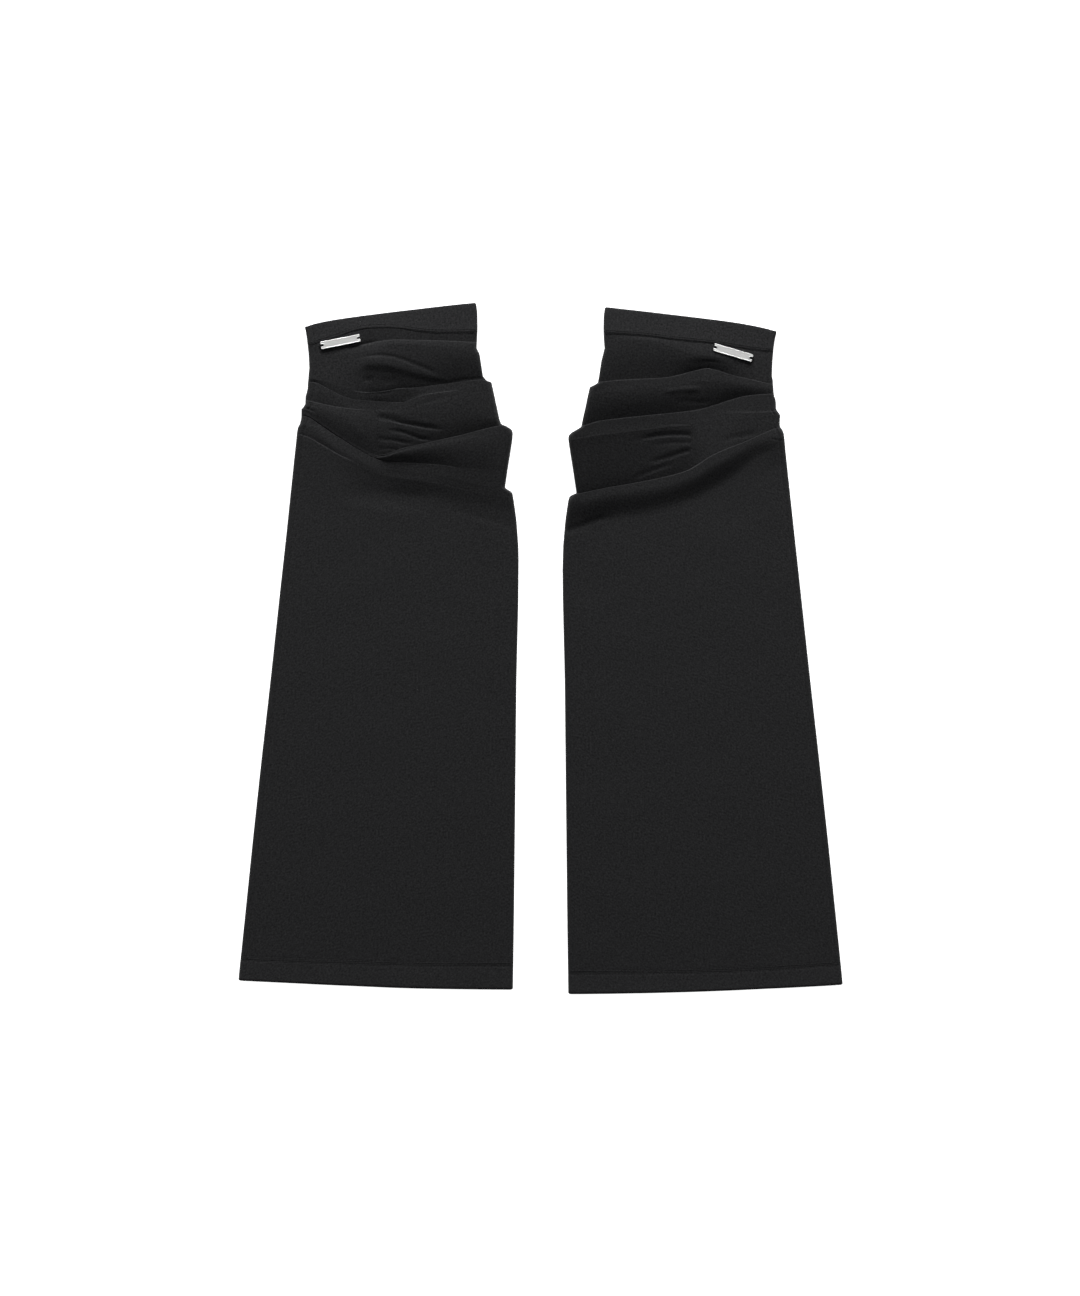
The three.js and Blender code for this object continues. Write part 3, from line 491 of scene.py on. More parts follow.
def drawn_line(fold, height_column, moved):
    """One line's distance down and height at each column: smooth curves through its points over
    the share of the way across."""
    across, down = on_table([point[:2] for point in fold["path"]])
    high = np.array([point[height_column] for point in fold["path"]])
    width = across[0] - across[-1]
    share = (across[0] - across) / width
    rolls = np.minimum(high[[0, -1]] / 2, WIDEST_ROLL)
    at = inside_edge(width, rolls[0], rolls[1]) / width
    return smooth_through(share, down + moved, at), smooth_through(share, high, at)


def all_lines(leg):
    """The lines of a leg warmer in order. A fold gives two lines, its tuck and its edge, a small
    step apart; into and out are the factors of the straight slope on both sides of such a line,
    and a rounding, which is smooth, has none."""
    lines = []
    for fold in leg["folds"]:
        wall = fold.get("wall", WALL)
        settings = dict(wall=wall, back=fold.get("back", 0), step=fold.get("step", FOLD_STEP))
        if "fold" in fold:
            half = fold["fold"] / 2
            down, high = drawn_line(fold, 2, -half)
            lines.append(dict(settings, down=down, high=high, into=INTO_TUCK, out=1.0, step=TUCK_STEP))
            down, high = drawn_line(fold, 3, half)
            settings["wall"] = fold.get("wall_below", wall)
            lines.append(dict(settings, down=down, high=high, into=1.0, out=OVER_EDGE))
        else:
            down, high = drawn_line(fold, 2, 0)
            lines.append(dict(settings, down=down, high=high, into=None, out=None))
    for before, line in zip(lines, lines[1:]):
        line["down"] = np.maximum(line["down"], before["down"] + SMALLEST_STEP)
    return lines


def slopes(lines):
    """Slopes along the leg on both sides of each line: soft ones at a rounding, and at a tuck or
    an edge each side's own straight slope times the line's factor."""
    step = np.array([after["down"] - line["down"] for line, after in zip(lines, lines[1:])])
    rate = np.array([after["high"] - line["high"] for line, after in zip(lines, lines[1:])]) / step
    mean = soft_slopes(step, rate)
    into = [m if line["into"] is None else line["into"] * rate[max(k - 1, 0)]
            for k, (m, line) in enumerate(zip(mean, lines))]
    out = [m if line["out"] is None else line["out"] * rate[min(k, len(rate) - 1)]
           for k, (m, line) in enumerate(zip(mean, lines))]
    return into, out


def front_rows(leg):
    """All rows of the front: down, height, wall and the depth of the crease in the hidden side.
    Between two lines the height is the cubic with the slopes at both, and the rows crowd
    together next to a tuck or an edge."""
    lines = all_lines(leg)
    into, out = slopes(lines)
    rows = []
    for k, (line, following) in enumerate(zip(lines, lines[1:])):
        gap = following["down"] - line["down"]
        count = max(2, int(np.ceil(gap.max() / line["step"])))
        even = np.arange(count) / count
        crowd = CROWDING if line["out"] or following["into"] else 0.0
        part = (even - crowd * np.sin(2 * np.pi * even) / (2 * np.pi))[:, None]
        down = line["down"] * (1 - part) + following["down"] * part
        high = cubic(line["high"], following["high"], gap, out[k], into[k + 1], part)
        ease = part[:, 0]**2 * (3 - 2 * part[:, 0])
        wall = line["wall"] * (1 - ease) + following["wall"] * ease
        back = line["back"] * (1 - ease) + following["back"] * ease
        rows.append((down, high, wall, back))
    last = lines[-1]
    rows.append((last["down"][None], last["high"][None], np.array([last["wall"]]), np.zeros(1)))
    return [np.concatenate([row[part] for row in rows]) for part in range(4)]


for leg in LEGS:
    leg["down"], leg["high"], leg["wall"], leg["back"] = front_rows(leg)
    print(leg["name"], "front:", leg["down"].shape[0], "rows of", leg["down"].shape[1], "points")

# %% [markdown]
# Now the finer creases are pressed into that surface. For each one, the distance of every point
# of the front from the crease's path decides how much it moves. A crease may be wider above its
# path than below it, and that is what makes one flank steep and the other one soft.

# %% Creases pressed into the front
PATH_POINTS = 25


def crease_path(path):
    """A crease's path in mm: smooth curves through its points over the length along them."""
    across, down = on_table(path)
    along = length_along(across, down)
    at = np.linspace(0, along[-1], PATH_POINTS)
    return smooth_through(along, across, at), smooth_through(along, down, at), at / along[-1]


def fade(share, fade_in, fade_out):
    """0 at both ends of a path and 1 between them, with a soft rise and fall."""
    rise = np.clip(share / fade_in, 0, 1)
    fall = np.clip((1 - share) / fade_out, 0, 1)
    return rise**2 * (3 - 2 * rise) * fall**2 * (3 - 2 * fall)


def crease_lift(crease, across, down):
    """How far a crease lifts each point: its lift times a bump that falls from 1 on the path to
    0 at its reach. The bump is round for a soft crease and pointed for a sharp one."""
    path_across, path_down, path_share = crease_path(crease["path"])
    reach = max(crease["above"], crease["below"])
    lift = np.zeros(across.shape)
    near = ((across > path_across.min() - reach) & (across < path_across.max() + reach)
            & (down > path_down.min() - reach) & (down < path_down.max() + reach))
    point = np.stack([across[near], down[near]], axis=-1)[:, None, :]
    start = np.stack([path_across, path_down], axis=-1)[:-1]
    along = np.diff(np.stack([path_across, path_down], axis=-1), axis=0)
    part = np.clip(((point - start) * along).sum(-1) / (along**2).sum(-1), 0, 1)
    away = point - (start + part[..., None] * along)
    distance = np.hypot(away[..., 0], away[..., 1])
    closest = distance.argmin(axis=1)
    row = np.arange(len(closest))
    distance = distance[row, closest]
    turn = along[closest, 0] * away[row, closest, 1] - along[closest, 1] * away[row, closest, 0]
    below = turn * np.sign(path_across[-1] - path_across[0] + 1e-9) > 0
    share = path_share[closest] + part[row, closest] * np.diff(path_share)[closest]
    q = np.clip(distance / np.where(below, crease["below"], crease["above"]), 0, 1)
    bump = crease["sharp"] * (1 - q)**1.5 + (1 - crease["sharp"]) * (1 - q**2)**2
    lift[near] = crease["lift"] * bump * fade(share, crease["fade_in"], crease["fade_out"])
    return lift


def unevenness(across, down, seed, longest, shortest, height, waves=14):
    """Slow random swells, as cloth that was smoothed by hand has: a sum of sine waves of random
    directions, lengths and phases, divided by the root of their number."""
    random = np.random.default_rng(seed)
    angle = random.uniform(0, np.pi, waves)
    length = random.uniform(shortest, longest, waves)
    phase = random.uniform(0, 2 * np.pi, waves)
    place = across[..., None] * np.cos(angle) + down[..., None] * np.sin(angle)
    return height * np.sin(2 * np.pi * place / length + phase).sum(-1) / np.sqrt(waves)


# %% [markdown]
# The side seam is a shallow groove along the whole length. Real seams pull the cloth in a little
# at each stitch, so the groove is deeper and shallower by turns. The outline was read off the
# photograph where the bright table already eats into the fuzz, so the cloth is a little wider.

# %% The front with its creases and its seam
SEAM_DEPTH = 0.45
SEAM_REACH = 1.7
SEAM_PUCKER = 7.0
LIP_RADIUS = 1.0
EDGE_FUZZ = 0.5
TOP_FUZZ = 0.8
CALM_EDGE = 8
SWELLS = ((90, 30, 0.1), (22, 9, 0.012))  # longest, shortest and height in mm


def finished_front(leg):
    """Across, down and height of every point of the front's outer face."""
    down, high = leg["down"].copy(), leg["high"]
    down[0] += LIP_RADIUS - TOP_FUZZ
    down[-1] -= LIP_RADIUS
    outer = outline_at(leg["outer_edge"], down[:, 0])[:, None] + EDGE_FUZZ
    inner = outline_at(leg["inner_edge"], down[:, -1])[:, None] - EDGE_FUZZ
    outer_roll = np.minimum(high[:, :1] / 2, WIDEST_ROLL)
    inner_roll = np.minimum(high[:, -1:] / 2, WIDEST_ROLL)
    inset = inside_edge(outer - inner, outer_roll, inner_roll)
    across = outer - inset
    lift = sum(crease_lift(crease, across, down) for crease in leg["creases"])
    q = np.clip(np.abs(inset - leg["seam_in"]) / SEAM_REACH, 0, 1)
    pull = 0.75 + 0.25 * np.sin(2 * np.pi * down / SEAM_PUCKER)
    seam = SEAM_DEPTH * pull * (1 - q)**2 * (1 + 2 * q)
    swell = sum(unevenness(across, down, leg["seed"] + k, *sizes) for k, sizes in enumerate(SWELLS))
    edge = np.clip(np.minimum(inset - outer_roll, outer - inner - inset - inner_roll) / CALM_EDGE, 0, 1)
    high = high + lift - seam + swell * edge
    return dict(across=across, down=down, high=high, outer=outer[:, 0], inner=inner[:, 0],
                outer_roll=outer_roll[:, 0], inner_roll=inner_roll[:, 0])


for leg in LEGS:
    leg["front"] = finished_front(leg)
    print(leg["name"], "highest fold:", round(leg["front"]["high"].max(), 2), "mm, lowest:",
          round(leg["front"]["high"].min(), 2), "mm")

# %% [markdown]
# A leg warmer lies flat as two layers of cloth joined by a fold at each side. So each row of the
# front is carried on round the inner fold, along the flat underside and round the outer fold,
# which makes a closed ring. The inner face of the cloth is the same ring, drawn in by the wall.
# Two rounded lips join both faces at the top edge and at the hem, as cloth turns over there.
# A Solidify modifier would be shorter, but it lets the inner face cross itself in sharp folds.

# %% Rings of the tube
INNER_REACH = 2
INNER_SMOOTHING = 3
SMALLEST_ROLL = 0.3


def smoothed(values, times):
    """Each value mixed with its neighbours in both directions, some times over: a quarter from
    each side and a half from itself."""
    for _ in range(times):
        padded = np.pad(values, 1, mode="edge")
        values = 0.5 * padded[1:-1, 1:-1] + 0.25 * (padded[:-2, 1:-1] + padded[2:, 1:-1])
        padded = np.pad(values, 1, mode="edge")
        values = 0.5 * padded[1:-1, 1:-1] + 0.25 * (padded[1:-1, :-2] + padded[1:-1, 2:])
    return values


def lowest_near(values, reach):
    """The lowest value within reach rows and columns of each point."""
    for axis in (0, 1):
        for _ in range(reach):
            padded = np.pad(values, 1, mode="edge")
            centre = [slice(1, -1), slice(1, -1)]
            before, after = list(centre), list(centre)
            before[axis], after[axis] = slice(0, -2), slice(2, None)
            values = np.minimum(padded[tuple(centre)], padded[tuple(after)])
            values = np.minimum(padded[tuple(before)], values)
    return values


def tube_rings(leg, inset):
    """Rings round the leg warmer, as across, down and height. inset draws them in by that much on
    every side, one value for each row. A folded side is half an ellipse: across moves with the
    cosine of its angle, and the height with the sine."""
    front = leg["front"]
    inset = np.broadcast_to(inset, front["outer"].shape)[:, None]
    top = front["high"]
    if inset.max() > 0:
        top = smoothed(lowest_near(top, INNER_REACH), INNER_SMOOTHING) - inset
    back_share = np.linspace(0, 1, BACK_STRIPS + 1)[None, 1:-1]
    hidden = leg["back"][:, None] * np.sin(np.pi * back_share)**0.5 + 0 * back_share
    outer, inner = front["outer"][:, None] - inset, front["inner"][:, None] + inset
    rolls = [np.maximum(front[name][:, None] - inset, SMALLEST_ROLL)
             for name in ("outer_roll", "inner_roll")]
    angle = np.pi / 2 - np.pi * np.arange(1, ROLL_STRIPS + 1)[None] / ROLL_STRIPS

    def folded_side(edge, roll, inwards, height, angle):
        """Across and height round a folded side, at angles from straight up to straight down."""
        middle, half = (height + inset) / 2, (height - inset) / 2
        return edge + inwards * roll * (1 - np.cos(angle)), middle + half * np.sin(angle)

    inner_side = folded_side(inner, rolls[1], 1, top[:, -1:], angle)
    outer_side = folded_side(outer, rolls[0], -1, top[:, :1], angle[:, ::-1][:, 1:])
    start_outer = folded_side(outer, rolls[0], -1, top[:, :1], angle[:, -1:])
    back_across = inner_side[0][:, -1:] * (1 - back_share) + start_outer[0] * back_share
    back_down = front["down"][:, -1:] * (1 - back_share) + front["down"][:, :1] * back_share
    across = np.concatenate([
        front["across"], inner_side[0], back_across, start_outer[0], outer_side[0]], axis=1)
    high = np.concatenate([top, inner_side[1], hidden + inset, start_outer[1], outer_side[1]], axis=1)
    down = np.concatenate([
        front["down"], np.repeat(front["down"][:, -1:], ROLL_STRIPS, axis=1), back_down,
        np.repeat(front["down"][:, :1], ROLL_STRIPS, axis=1)], axis=1)
    if inset.max() > 0:
        across = np.clip(across, inner, outer)
    return np.stack([across, down, high], axis=-1)


def lip(start, end, direction, strips=4):
    """Rings of a rounded edge from one ring to another: half a circle about the middle between
    them, bulging along the leg in the given direction."""
    angle = (np.pi * np.arange(1, strips) / strips)[:, None, None]
    middle, half = (start + end) / 2, (start - end) / 2
    bulge = np.array([0, direction, 0]) * np.linalg.norm(half, axis=-1, keepdims=True)
    return middle + half * np.cos(angle) + bulge * np.sin(angle)


def closed_tube(leg):
    """The whole shell as one grid that closes in both directions: the outer face from the top to
    the hem, the hem's lip, the inner face back up, and the top's lip."""
    outside = tube_rings(leg, np.zeros(1))
    inside = tube_rings(leg, leg["wall"])
    return np.concatenate([
        outside, lip(outside[-1], inside[-1], 1), inside[::-1], lip(inside[0], outside[0], -1)])


# %% [markdown]
# The knit runs down the leg, along the cloth and over its folds. A pattern on plain coordinates
# would be stretched on the steep flanks, so the mesh gets a UV map in metres of cloth: u is the
# length round the ring from the inner fold, and v the length down the surface. The other helpers
# here are for the stitches, bars and strands: they close a row of rings, and find the directions
# along and across a thread.

# %% From points to meshes


def cloth_lengths(points):
    """u and v of a closed grid, with one more column and row than it has, in metres of cloth."""
    closed = np.concatenate([points, points[:, :1]], axis=1)
    closed = np.concatenate([closed, closed[:1]], axis=0)
    u = np.cumsum(np.linalg.norm(np.diff(closed, axis=1, prepend=closed[:, :1]), axis=-1), axis=1)
    v = np.cumsum(np.linalg.norm(np.diff(closed, axis=0, prepend=closed[:1]), axis=-1), axis=0)
    inner_fold = ZONE_STRIPS + FRONT_STRIPS + ROLL_STRIPS // 2
    return np.stack([u - u[:, inner_fold:inner_fold + 1], v], axis=-1)


def new_mesh(name, points, faces, smooth=True):
    """A mesh of points in metres and faces of their numbers, shaded smooth or flat."""
    mesh = bpy.data.meshes.new(name)
    mesh.from_pydata(points.reshape(-1, 3).tolist(), [], faces)
    mesh.polygons.foreach_set("use_smooth", np.full(len(faces), smooth))
    mesh.update()
    return mesh


def grid_mesh(name, points, uv):
    """A mesh from a grid of points that closes in both directions, with its faces outwards: the
    faces are turned round if the volume that they enclose comes out below 0. That volume is a
    sixth of the sum over all triangles of a . (b x c)."""
    rows, columns = points.shape[:2]
    row, column = np.meshgrid(np.arange(rows), np.arange(columns), indexing="ij")
    row, column = row.ravel(), column.ravel()
    corner_rows = np.stack([row, row + 1, row + 1, row], axis=1)
    corner_columns = np.stack([column, column, column + 1, column + 1], axis=1)
    faces = (corner_rows % rows) * columns + corner_columns % columns
    a, b, c, d = (points.reshape(-1, 3)[faces[:, k]] for k in range(4))
    first, second = (np.einsum("ij,ij->i", a, np.cross(*pair)) for pair in ((b, c), (c, d)))
    volume = (first + second).sum() / 6
    if volume < 0:
        faces, corner_rows, corner_columns = (part[:, ::-1] for part in (faces, corner_rows, corner_columns))
    mesh = new_mesh(name, points, faces.tolist())
    layer = mesh.uv_layers.new(name="cloth")
    layer.data.foreach_set("uv", uv[corner_rows, corner_columns].ravel())
    return mesh, abs(volume)


def capped_faces(rings, count):
    """Faces between rings of count points each, and one face over each end."""
    around = np.arange(count)
    sides = [[ring * count + a, ring * count + b, (ring + 1) * count + b, (ring + 1) * count + a]
             for ring in range(rings - 1) for a, b in zip(around, (around + 1) % count)]
    return sides + [around[::-1].tolist(), ((rings - 1) * count + around).tolist()]


def thread_frame(ahead):
    """Three unit directions at each place of a thread: along it, level across it, which is up
    times ahead, and square to both."""
    ahead = ahead / np.linalg.norm(ahead, axis=1, keepdims=True)
    sideways = np.cross([0, 0, 1], ahead)
    sideways /= np.linalg.norm(sideways, axis=1, keepdims=True)
    return ahead, sideways, np.cross(ahead, sideways)


def add_piece(mesh, material=None):
    """A mesh as a piece of the same name: at the origin, riding on the part's one body."""
    piece = bpy.data.objects.new(mesh.name, mesh)
    bpy.context.scene.collection.objects.link(piece)
    if material is not None:
        mesh.materials.append(material)
    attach(piece, "root")
    return piece


# %% [markdown]
# Before the pieces are made they need their finishes. Node trees are easier to read when they
# are built by small helpers. These add a node, join sockets, mix colours, raise a relief, and
# start or place a group with named sockets.

# %% Helpers for node trees


def node(tree, kind, label=None, **settings):
    """Adds a node and sets the properties named in settings."""
    made = tree.nodes.new(kind)
    if label:
        made.label = label
    for name, value in settings.items():
        setattr(made, name, value)
    return made


def join(tree, source, target):
    """Links an output to an input, or sets the input where source is a plain value."""
    if isinstance(source, bpy.types.NodeSocket):
        tree.links.new(source, target)
    else:
        target.default_value = source


def maths(tree, operation, first, second=0.0, third=0.0):
    """The output of a Math node on up to three values or sockets."""
    made = node(tree, "ShaderNodeMath", operation=operation)
    for socket, source in zip(made.inputs, (first, second, third)):
        join(tree, source, socket)
    return made.outputs[0]


def feed(tree, made, **values):
    """Joins sockets or plain values to a node's inputs by name, with _ for each space."""
    for label, source in values.items():
        join(tree, source, made.inputs[label.replace("_", " ")])
    return made


def noise(tree, vector, scale, detail, roughness):
    """The factor of a Noise Texture node."""
    made = node(tree, "ShaderNodeTexNoise")
    return feed(tree, made, Vector=vector, Scale=scale, Detail=detail, Roughness=roughness).outputs["Fac"]


def mixed(tree, factor, first, second):
    """The colour that lies between two others by a factor."""
    made = node(tree, "ShaderNodeMix", data_type="RGBA")
    return feed(tree, made, Factor=factor, A=first, B=second).outputs["Result"]


def raise_relief(tree, shader, height, distance):
    """Lets a shader see a height, times a distance in metres, through a Bump node."""
    bump = feed(tree, node(tree, "ShaderNodeBump"), Height=height, Distance=distance)
    feed(tree, shader, Normal=bump.outputs["Normal"])


def in_mm(tree, place_in_metres):
    """Coordinates in mm, by a Mapping node that multiplies them by 1000."""
    return feed(tree, node(tree, "ShaderNodeMapping"), Vector=place_in_metres, Scale=(1000,) * 3).outputs[0]


def new_material(name):
    """A material, its node tree and its shader."""
    material = bpy.data.materials.new(name)
    material.use_nodes = True
    return material, material.node_tree, material.node_tree.nodes["Principled BSDF"]


def group(name, inputs, outputs):
    """A node group with these inputs and outputs, and its two end nodes."""
    tree = bpy.data.node_groups.new(name, "ShaderNodeTree")
    for label, kind, value in inputs:
        socket = tree.interface.new_socket(name=label, in_out="INPUT", socket_type=kind)
        if value is not None:
            socket.default_value = value
    for label, kind in outputs:
        tree.interface.new_socket(name=label, in_out="OUTPUT", socket_type=kind)
    return tree, tree.nodes.new("NodeGroupInput"), tree.nodes.new("NodeGroupOutput")


def place(tree, group_tree, **values):
    """Puts a group into a material, with its own values."""
    made = node(tree, "ShaderNodeGroup", label=group_tree.name)
    made.node_tree = group_tree
    return feed(tree, made, **values)


# %% [markdown]
# Single jersey shows small V-shaped stitches in upright columns. Up close each half of a V is a
# yarn: round across its width and swelling a little along the column. The group below works both
# out from the cloth's UV map. It puts out a height, and leaves the Bump node to the material.

# %% Jersey stitches as a node group


def jersey_group():
    """Height of the stitches, from 0 between the yarns to 1 on top of them."""
    tree, start, end = group(
        "Jersey stitches",
        [("Cloth", "NodeSocketVector", None), ("Wale", "NodeSocketFloat", 1.0),
         ("Course", "NodeSocketFloat", 0.7)],
        [("Height", "NodeSocketFloat")])
    split = node(tree, "ShaderNodeSeparateXYZ")
    join(tree, start.outputs["Cloth"], split.inputs[0])
    wale = maths(tree, "DIVIDE", split.outputs["X"], start.outputs["Wale"])
    course = maths(tree, "DIVIDE", split.outputs["Y"], start.outputs["Course"])
    from_middle = maths(tree, "ABSOLUTE", maths(tree, "SUBTRACT", maths(tree, "FRACT", wale), 0.5))
    across_yarn = maths(tree, "SINE", maths(tree, "MULTIPLY", from_middle, 2 * np.pi))
    slanted = maths(tree, "FRACT", maths(tree, "ADD", course, maths(tree, "MULTIPLY", from_middle, 1.3)))
    along_yarn = maths(tree, "SINE", maths(tree, "MULTIPLY", slanted, np.pi))
    swell = maths(tree, "MULTIPLY_ADD", along_yarn, 0.5, 0.5)
    join(tree, maths(tree, "MULTIPLY", across_yarn, swell), end.inputs["Height"])
    return tree


# %% [markdown]
# The face of this jersey is brushed: short fibres stand up from it and hide most of the stitch.
# They make it matt, a little lighter in some spots and darker in others, at the scale of a few
# stitches. Both effects are used by the cloth and, at a smaller scale, by its sewing thread, so
# they share a group that puts out a mask for the colour and a height for the bump.

# %% Brushed nap as a node group


def nap_group():
    """Light is a mask about 0.5 for the colour's mottling, and Height the fibres' relief."""
    tree, start, end = group(
        "Brushed nap",
        [("Cloth", "NodeSocketVector", None), ("Spot size", "NodeSocketFloat", 2.0)],
        [("Light", "NodeSocketFloat"), ("Height", "NodeSocketFloat")])
    scaled = node(tree, "ShaderNodeVectorMath", operation="DIVIDE")
    join(tree, start.outputs["Cloth"], scaled.inputs[0])
    spread = node(tree, "ShaderNodeCombineXYZ")
    for socket in spread.inputs:
        join(tree, start.outputs["Spot size"], socket)
    join(tree, spread.outputs[0], scaled.inputs[1])
    spots = noise(tree, scaled.outputs[0], 1.0, 3.0, 0.65)
    patches = noise(tree, scaled.outputs[0], 0.3, 2.0, 0.5)
    fibres = noise(tree, scaled.outputs[0], 4.5, 2.0, 0.6)
    light = maths(tree, "MULTIPLY_ADD", patches, 0.12, maths(tree, "MULTIPLY", spots, 0.88))
    join(tree, light, end.inputs["Light"])
    height = maths(tree, "MULTIPLY_ADD", spots, 0.5, maths(tree, "MULTIPLY", fibres, 0.5))
    join(tree, height, end.inputs["Height"])
    return tree


jersey = jersey_group()
nap = nap_group()
print("node groups:", jersey.name, "and", nap.name)

# %% [markdown]
# Black cloth isn't black: it sends back about one part in seventy of the light. Its colour runs
# between two greys by the nap's mask, and a few tiny specks of lint are lighter. The stitch and
# the fibres go into one Bump node, in millimetres of relief. A low specular level and a faint
# sheen, which are the same all over, are set on the shader itself.

# %% Black brushed jersey
JERSEY_DARK = (0.003, 0.0031, 0.0034, 1)
JERSEY_LIGHT = (0.0275, 0.0275, 0.0287, 1)
LINT = (0.075, 0.075, 0.078, 1)
WALE_MM = 1.05
COURSE_MM = 0.75
SPOT_MM = 1.7
STITCH_RELIEF = 0.02
NAP_RELIEF = 0.08
MASK_LOW, MASK_HIGH = 0.28, 0.72
SPECK_CELLS = 0.055
SPECK_SIZE = 0.02
SPECK_CHOICE = 0.72


def knit_material():
    """Matt black jersey with specks of lint: small discs in a few cells of a Voronoi pattern."""
    material, tree, shader = new_material("black brushed jersey")
    cloth = in_mm(tree, node(tree, "ShaderNodeUVMap", uv_map="cloth").outputs[0])
    stitches = place(tree, jersey, Cloth=cloth, Wale=WALE_MM, Course=COURSE_MM)
    brushed = place(tree, nap, Cloth=cloth, Spot_size=SPOT_MM)
    spread = node(tree, "ShaderNodeMapRange")
    feed(tree, spread, Value=brushed.outputs["Light"], From_Min=MASK_LOW, From_Max=MASK_HIGH)
    black = mixed(tree, spread.outputs[0], JERSEY_DARK, JERSEY_LIGHT)
    cells = node(tree, "ShaderNodeTexVoronoi", feature="F1")
    feed(tree, cells, Vector=cloth, Scale=SPECK_CELLS)
    close = maths(tree, "LESS_THAN", cells.outputs["Distance"], SPECK_SIZE)
    few = node(tree, "ShaderNodeSeparateColor")
    join(tree, cells.outputs["Color"], few.inputs[0])
    chosen = maths(tree, "GREATER_THAN", few.outputs[0], SPECK_CHOICE)
    base = mixed(tree, maths(tree, "MULTIPLY", close, chosen), black, LINT)
    roughness = maths(tree, "MULTIPLY_ADD", brushed.outputs["Light"], -0.1, 1.0)
    feed(tree, shader, Base_Color=base, Roughness=roughness, Specular_IOR_Level=0.12,
         Sheen_Weight=0.06, Sheen_Roughness=0.5)
    relief = maths(tree, "MULTIPLY_ADD", stitches.outputs["Height"], STITCH_RELIEF,
                   maths(tree, "MULTIPLY", brushed.outputs["Height"], NAP_RELIEF))
    raise_relief(tree, shader, relief, MM)
    return material


black_jersey = knit_material()

# %% [markdown]
# The two cloth shells are made now.

for leg in LEGS:
    grid = closed_tube(leg)
    points = in_frame(leg["side"], grid[..., 0], grid[..., 1], grid[..., 2])
    mesh, volume = grid_mesh(leg["name"] + "_leg_warmer", points, cloth_lengths(points))
    leg["cloth"] = add_piece(mesh, black_jersey)
    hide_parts(leg["name"] + "_leg_panel")
    area = sum(face.area for face in mesh.polygons) / 2
    print(mesh.name, "triangles:", 2 * len(mesh.polygons), "cloth:", round(area, 4), "square metres,",
          "volume:", round(volume * 1e6, 1), "cubic cm")

# %% [markdown]
# Stitches lie on the cloth, so the next helper finds the height of the front under any place.
# Along a path of places, each stitch is a small spindle of thread: three rings of five points
# between two tips. All stitches of a line are one mesh, worked out at once.

# %% Places on the front


def front_height(leg, across, down):
    """Height of the front's outer face under some places: for every row, the down and height at
    each place's across by straight lines, and then the row interval that holds its down."""
    front = leg["front"]
    rows = range(len(front["outer"]))
    down_at, high_at = (
        np.stack([np.interp(across, front["across"][k, ::-1], front[name][k, ::-1]) for k in rows])
        for name in ("down", "high"))
    after = np.clip((down_at < down).sum(axis=0), 1, len(down_at) - 1)
    place_index = np.arange(len(across))
    d0, d1 = down_at[after - 1, place_index], down_at[after, place_index]
    h0, h1 = high_at[after - 1, place_index], high_at[after, place_index]
    return h0 + (h1 - h0) * np.clip((down - d0) / (d1 - d0), 0, 1)


def along_path(path, spacing):
    """Places at equal distances along a path of across and down."""
    across, down = path
    along = length_along(across, down)
    at = np.arange(spacing / 2, along[-1], spacing)
    return np.interp(at, along, across), np.interp(at, along, down)


STITCH_RINGS = ((-0.62, 0.75), (0.0, 1.0), (0.62, 0.75))
STITCH_SIDES = 5


def stitch_mesh(name, centres, ahead, length, radius):
    """Many stitches as one mesh. Each point is the stitch's centre, plus its direction times the
    ring's place along it, plus the ring's radius turned about that direction."""
    ahead, sideways, up = thread_frame(ahead)
    turn = 2 * np.pi * np.arange(STITCH_SIDES) / STITCH_SIDES
    shape = [(-1.0, 0.0, 0.0)]
    for at, wide in STITCH_RINGS:
        shape += [(at, wide * np.cos(angle), wide * np.sin(angle)) for angle in turn]
    shape = np.array(shape + [(1.0, 0.0, 0.0)])
    points = (centres[:, None] + ahead[:, None] * shape[None, :, :1] * length / 2
              + sideways[:, None] * shape[None, :, 1:2] * radius + up[:, None] * shape[None, :, 2:] * radius)
    k = np.arange(STITCH_SIDES)
    after = (k + 1) % STITCH_SIDES
    tip, faces = len(shape) - 1, []
    faces.append(np.stack([np.zeros_like(k), 1 + after, 1 + k], axis=1))
    for ring in range(len(STITCH_RINGS) - 1):
        low, high = 1 + ring * STITCH_SIDES, 1 + (ring + 1) * STITCH_SIDES
        faces.append(np.stack([low + k, low + after, high + after], axis=1))
        faces.append(np.stack([low + k, high + after, high + k], axis=1))
    faces.append(np.stack([high + k, high + after, np.full_like(k, tip)], axis=1))
    faces = np.concatenate(faces)
    faces = (faces[None] + len(shape) * np.arange(len(centres))[:, None, None]).reshape(-1, 3)
    return new_mesh(name, points, faces.tolist())


# %% [markdown]
# A domestic twin needle sews the band and the hem: two rows side by side. The gathering line is
# one row of longer stitches. The thread is black as well, and a little glossier than the nap.

# %% Black thread
THREAD_DARK = (0.006, 0.006, 0.0064, 1)
THREAD_LIGHT = (0.018, 0.018, 0.019, 1)
FUZZ_MM = 0.6
FUZZ_RELIEF = 0.1


def thread_material():
    """Black thread with a little fuzz of its own, on object coordinates in mm."""
    material, tree, shader = new_material("black thread")
    thread = in_mm(tree, node(tree, "ShaderNodeTexCoord").outputs["Object"])
    fuzz = place(tree, nap, Cloth=thread, Spot_size=FUZZ_MM)
    base = mixed(tree, fuzz.outputs["Light"], THREAD_DARK, THREAD_LIGHT)
    feed(tree, shader, Base_Color=base, Roughness=0.7, Specular_IOR_Level=0.25)
    raise_relief(tree, shader, fuzz.outputs["Height"], FUZZ_RELIEF * MM)
    return material


black_thread = thread_material()

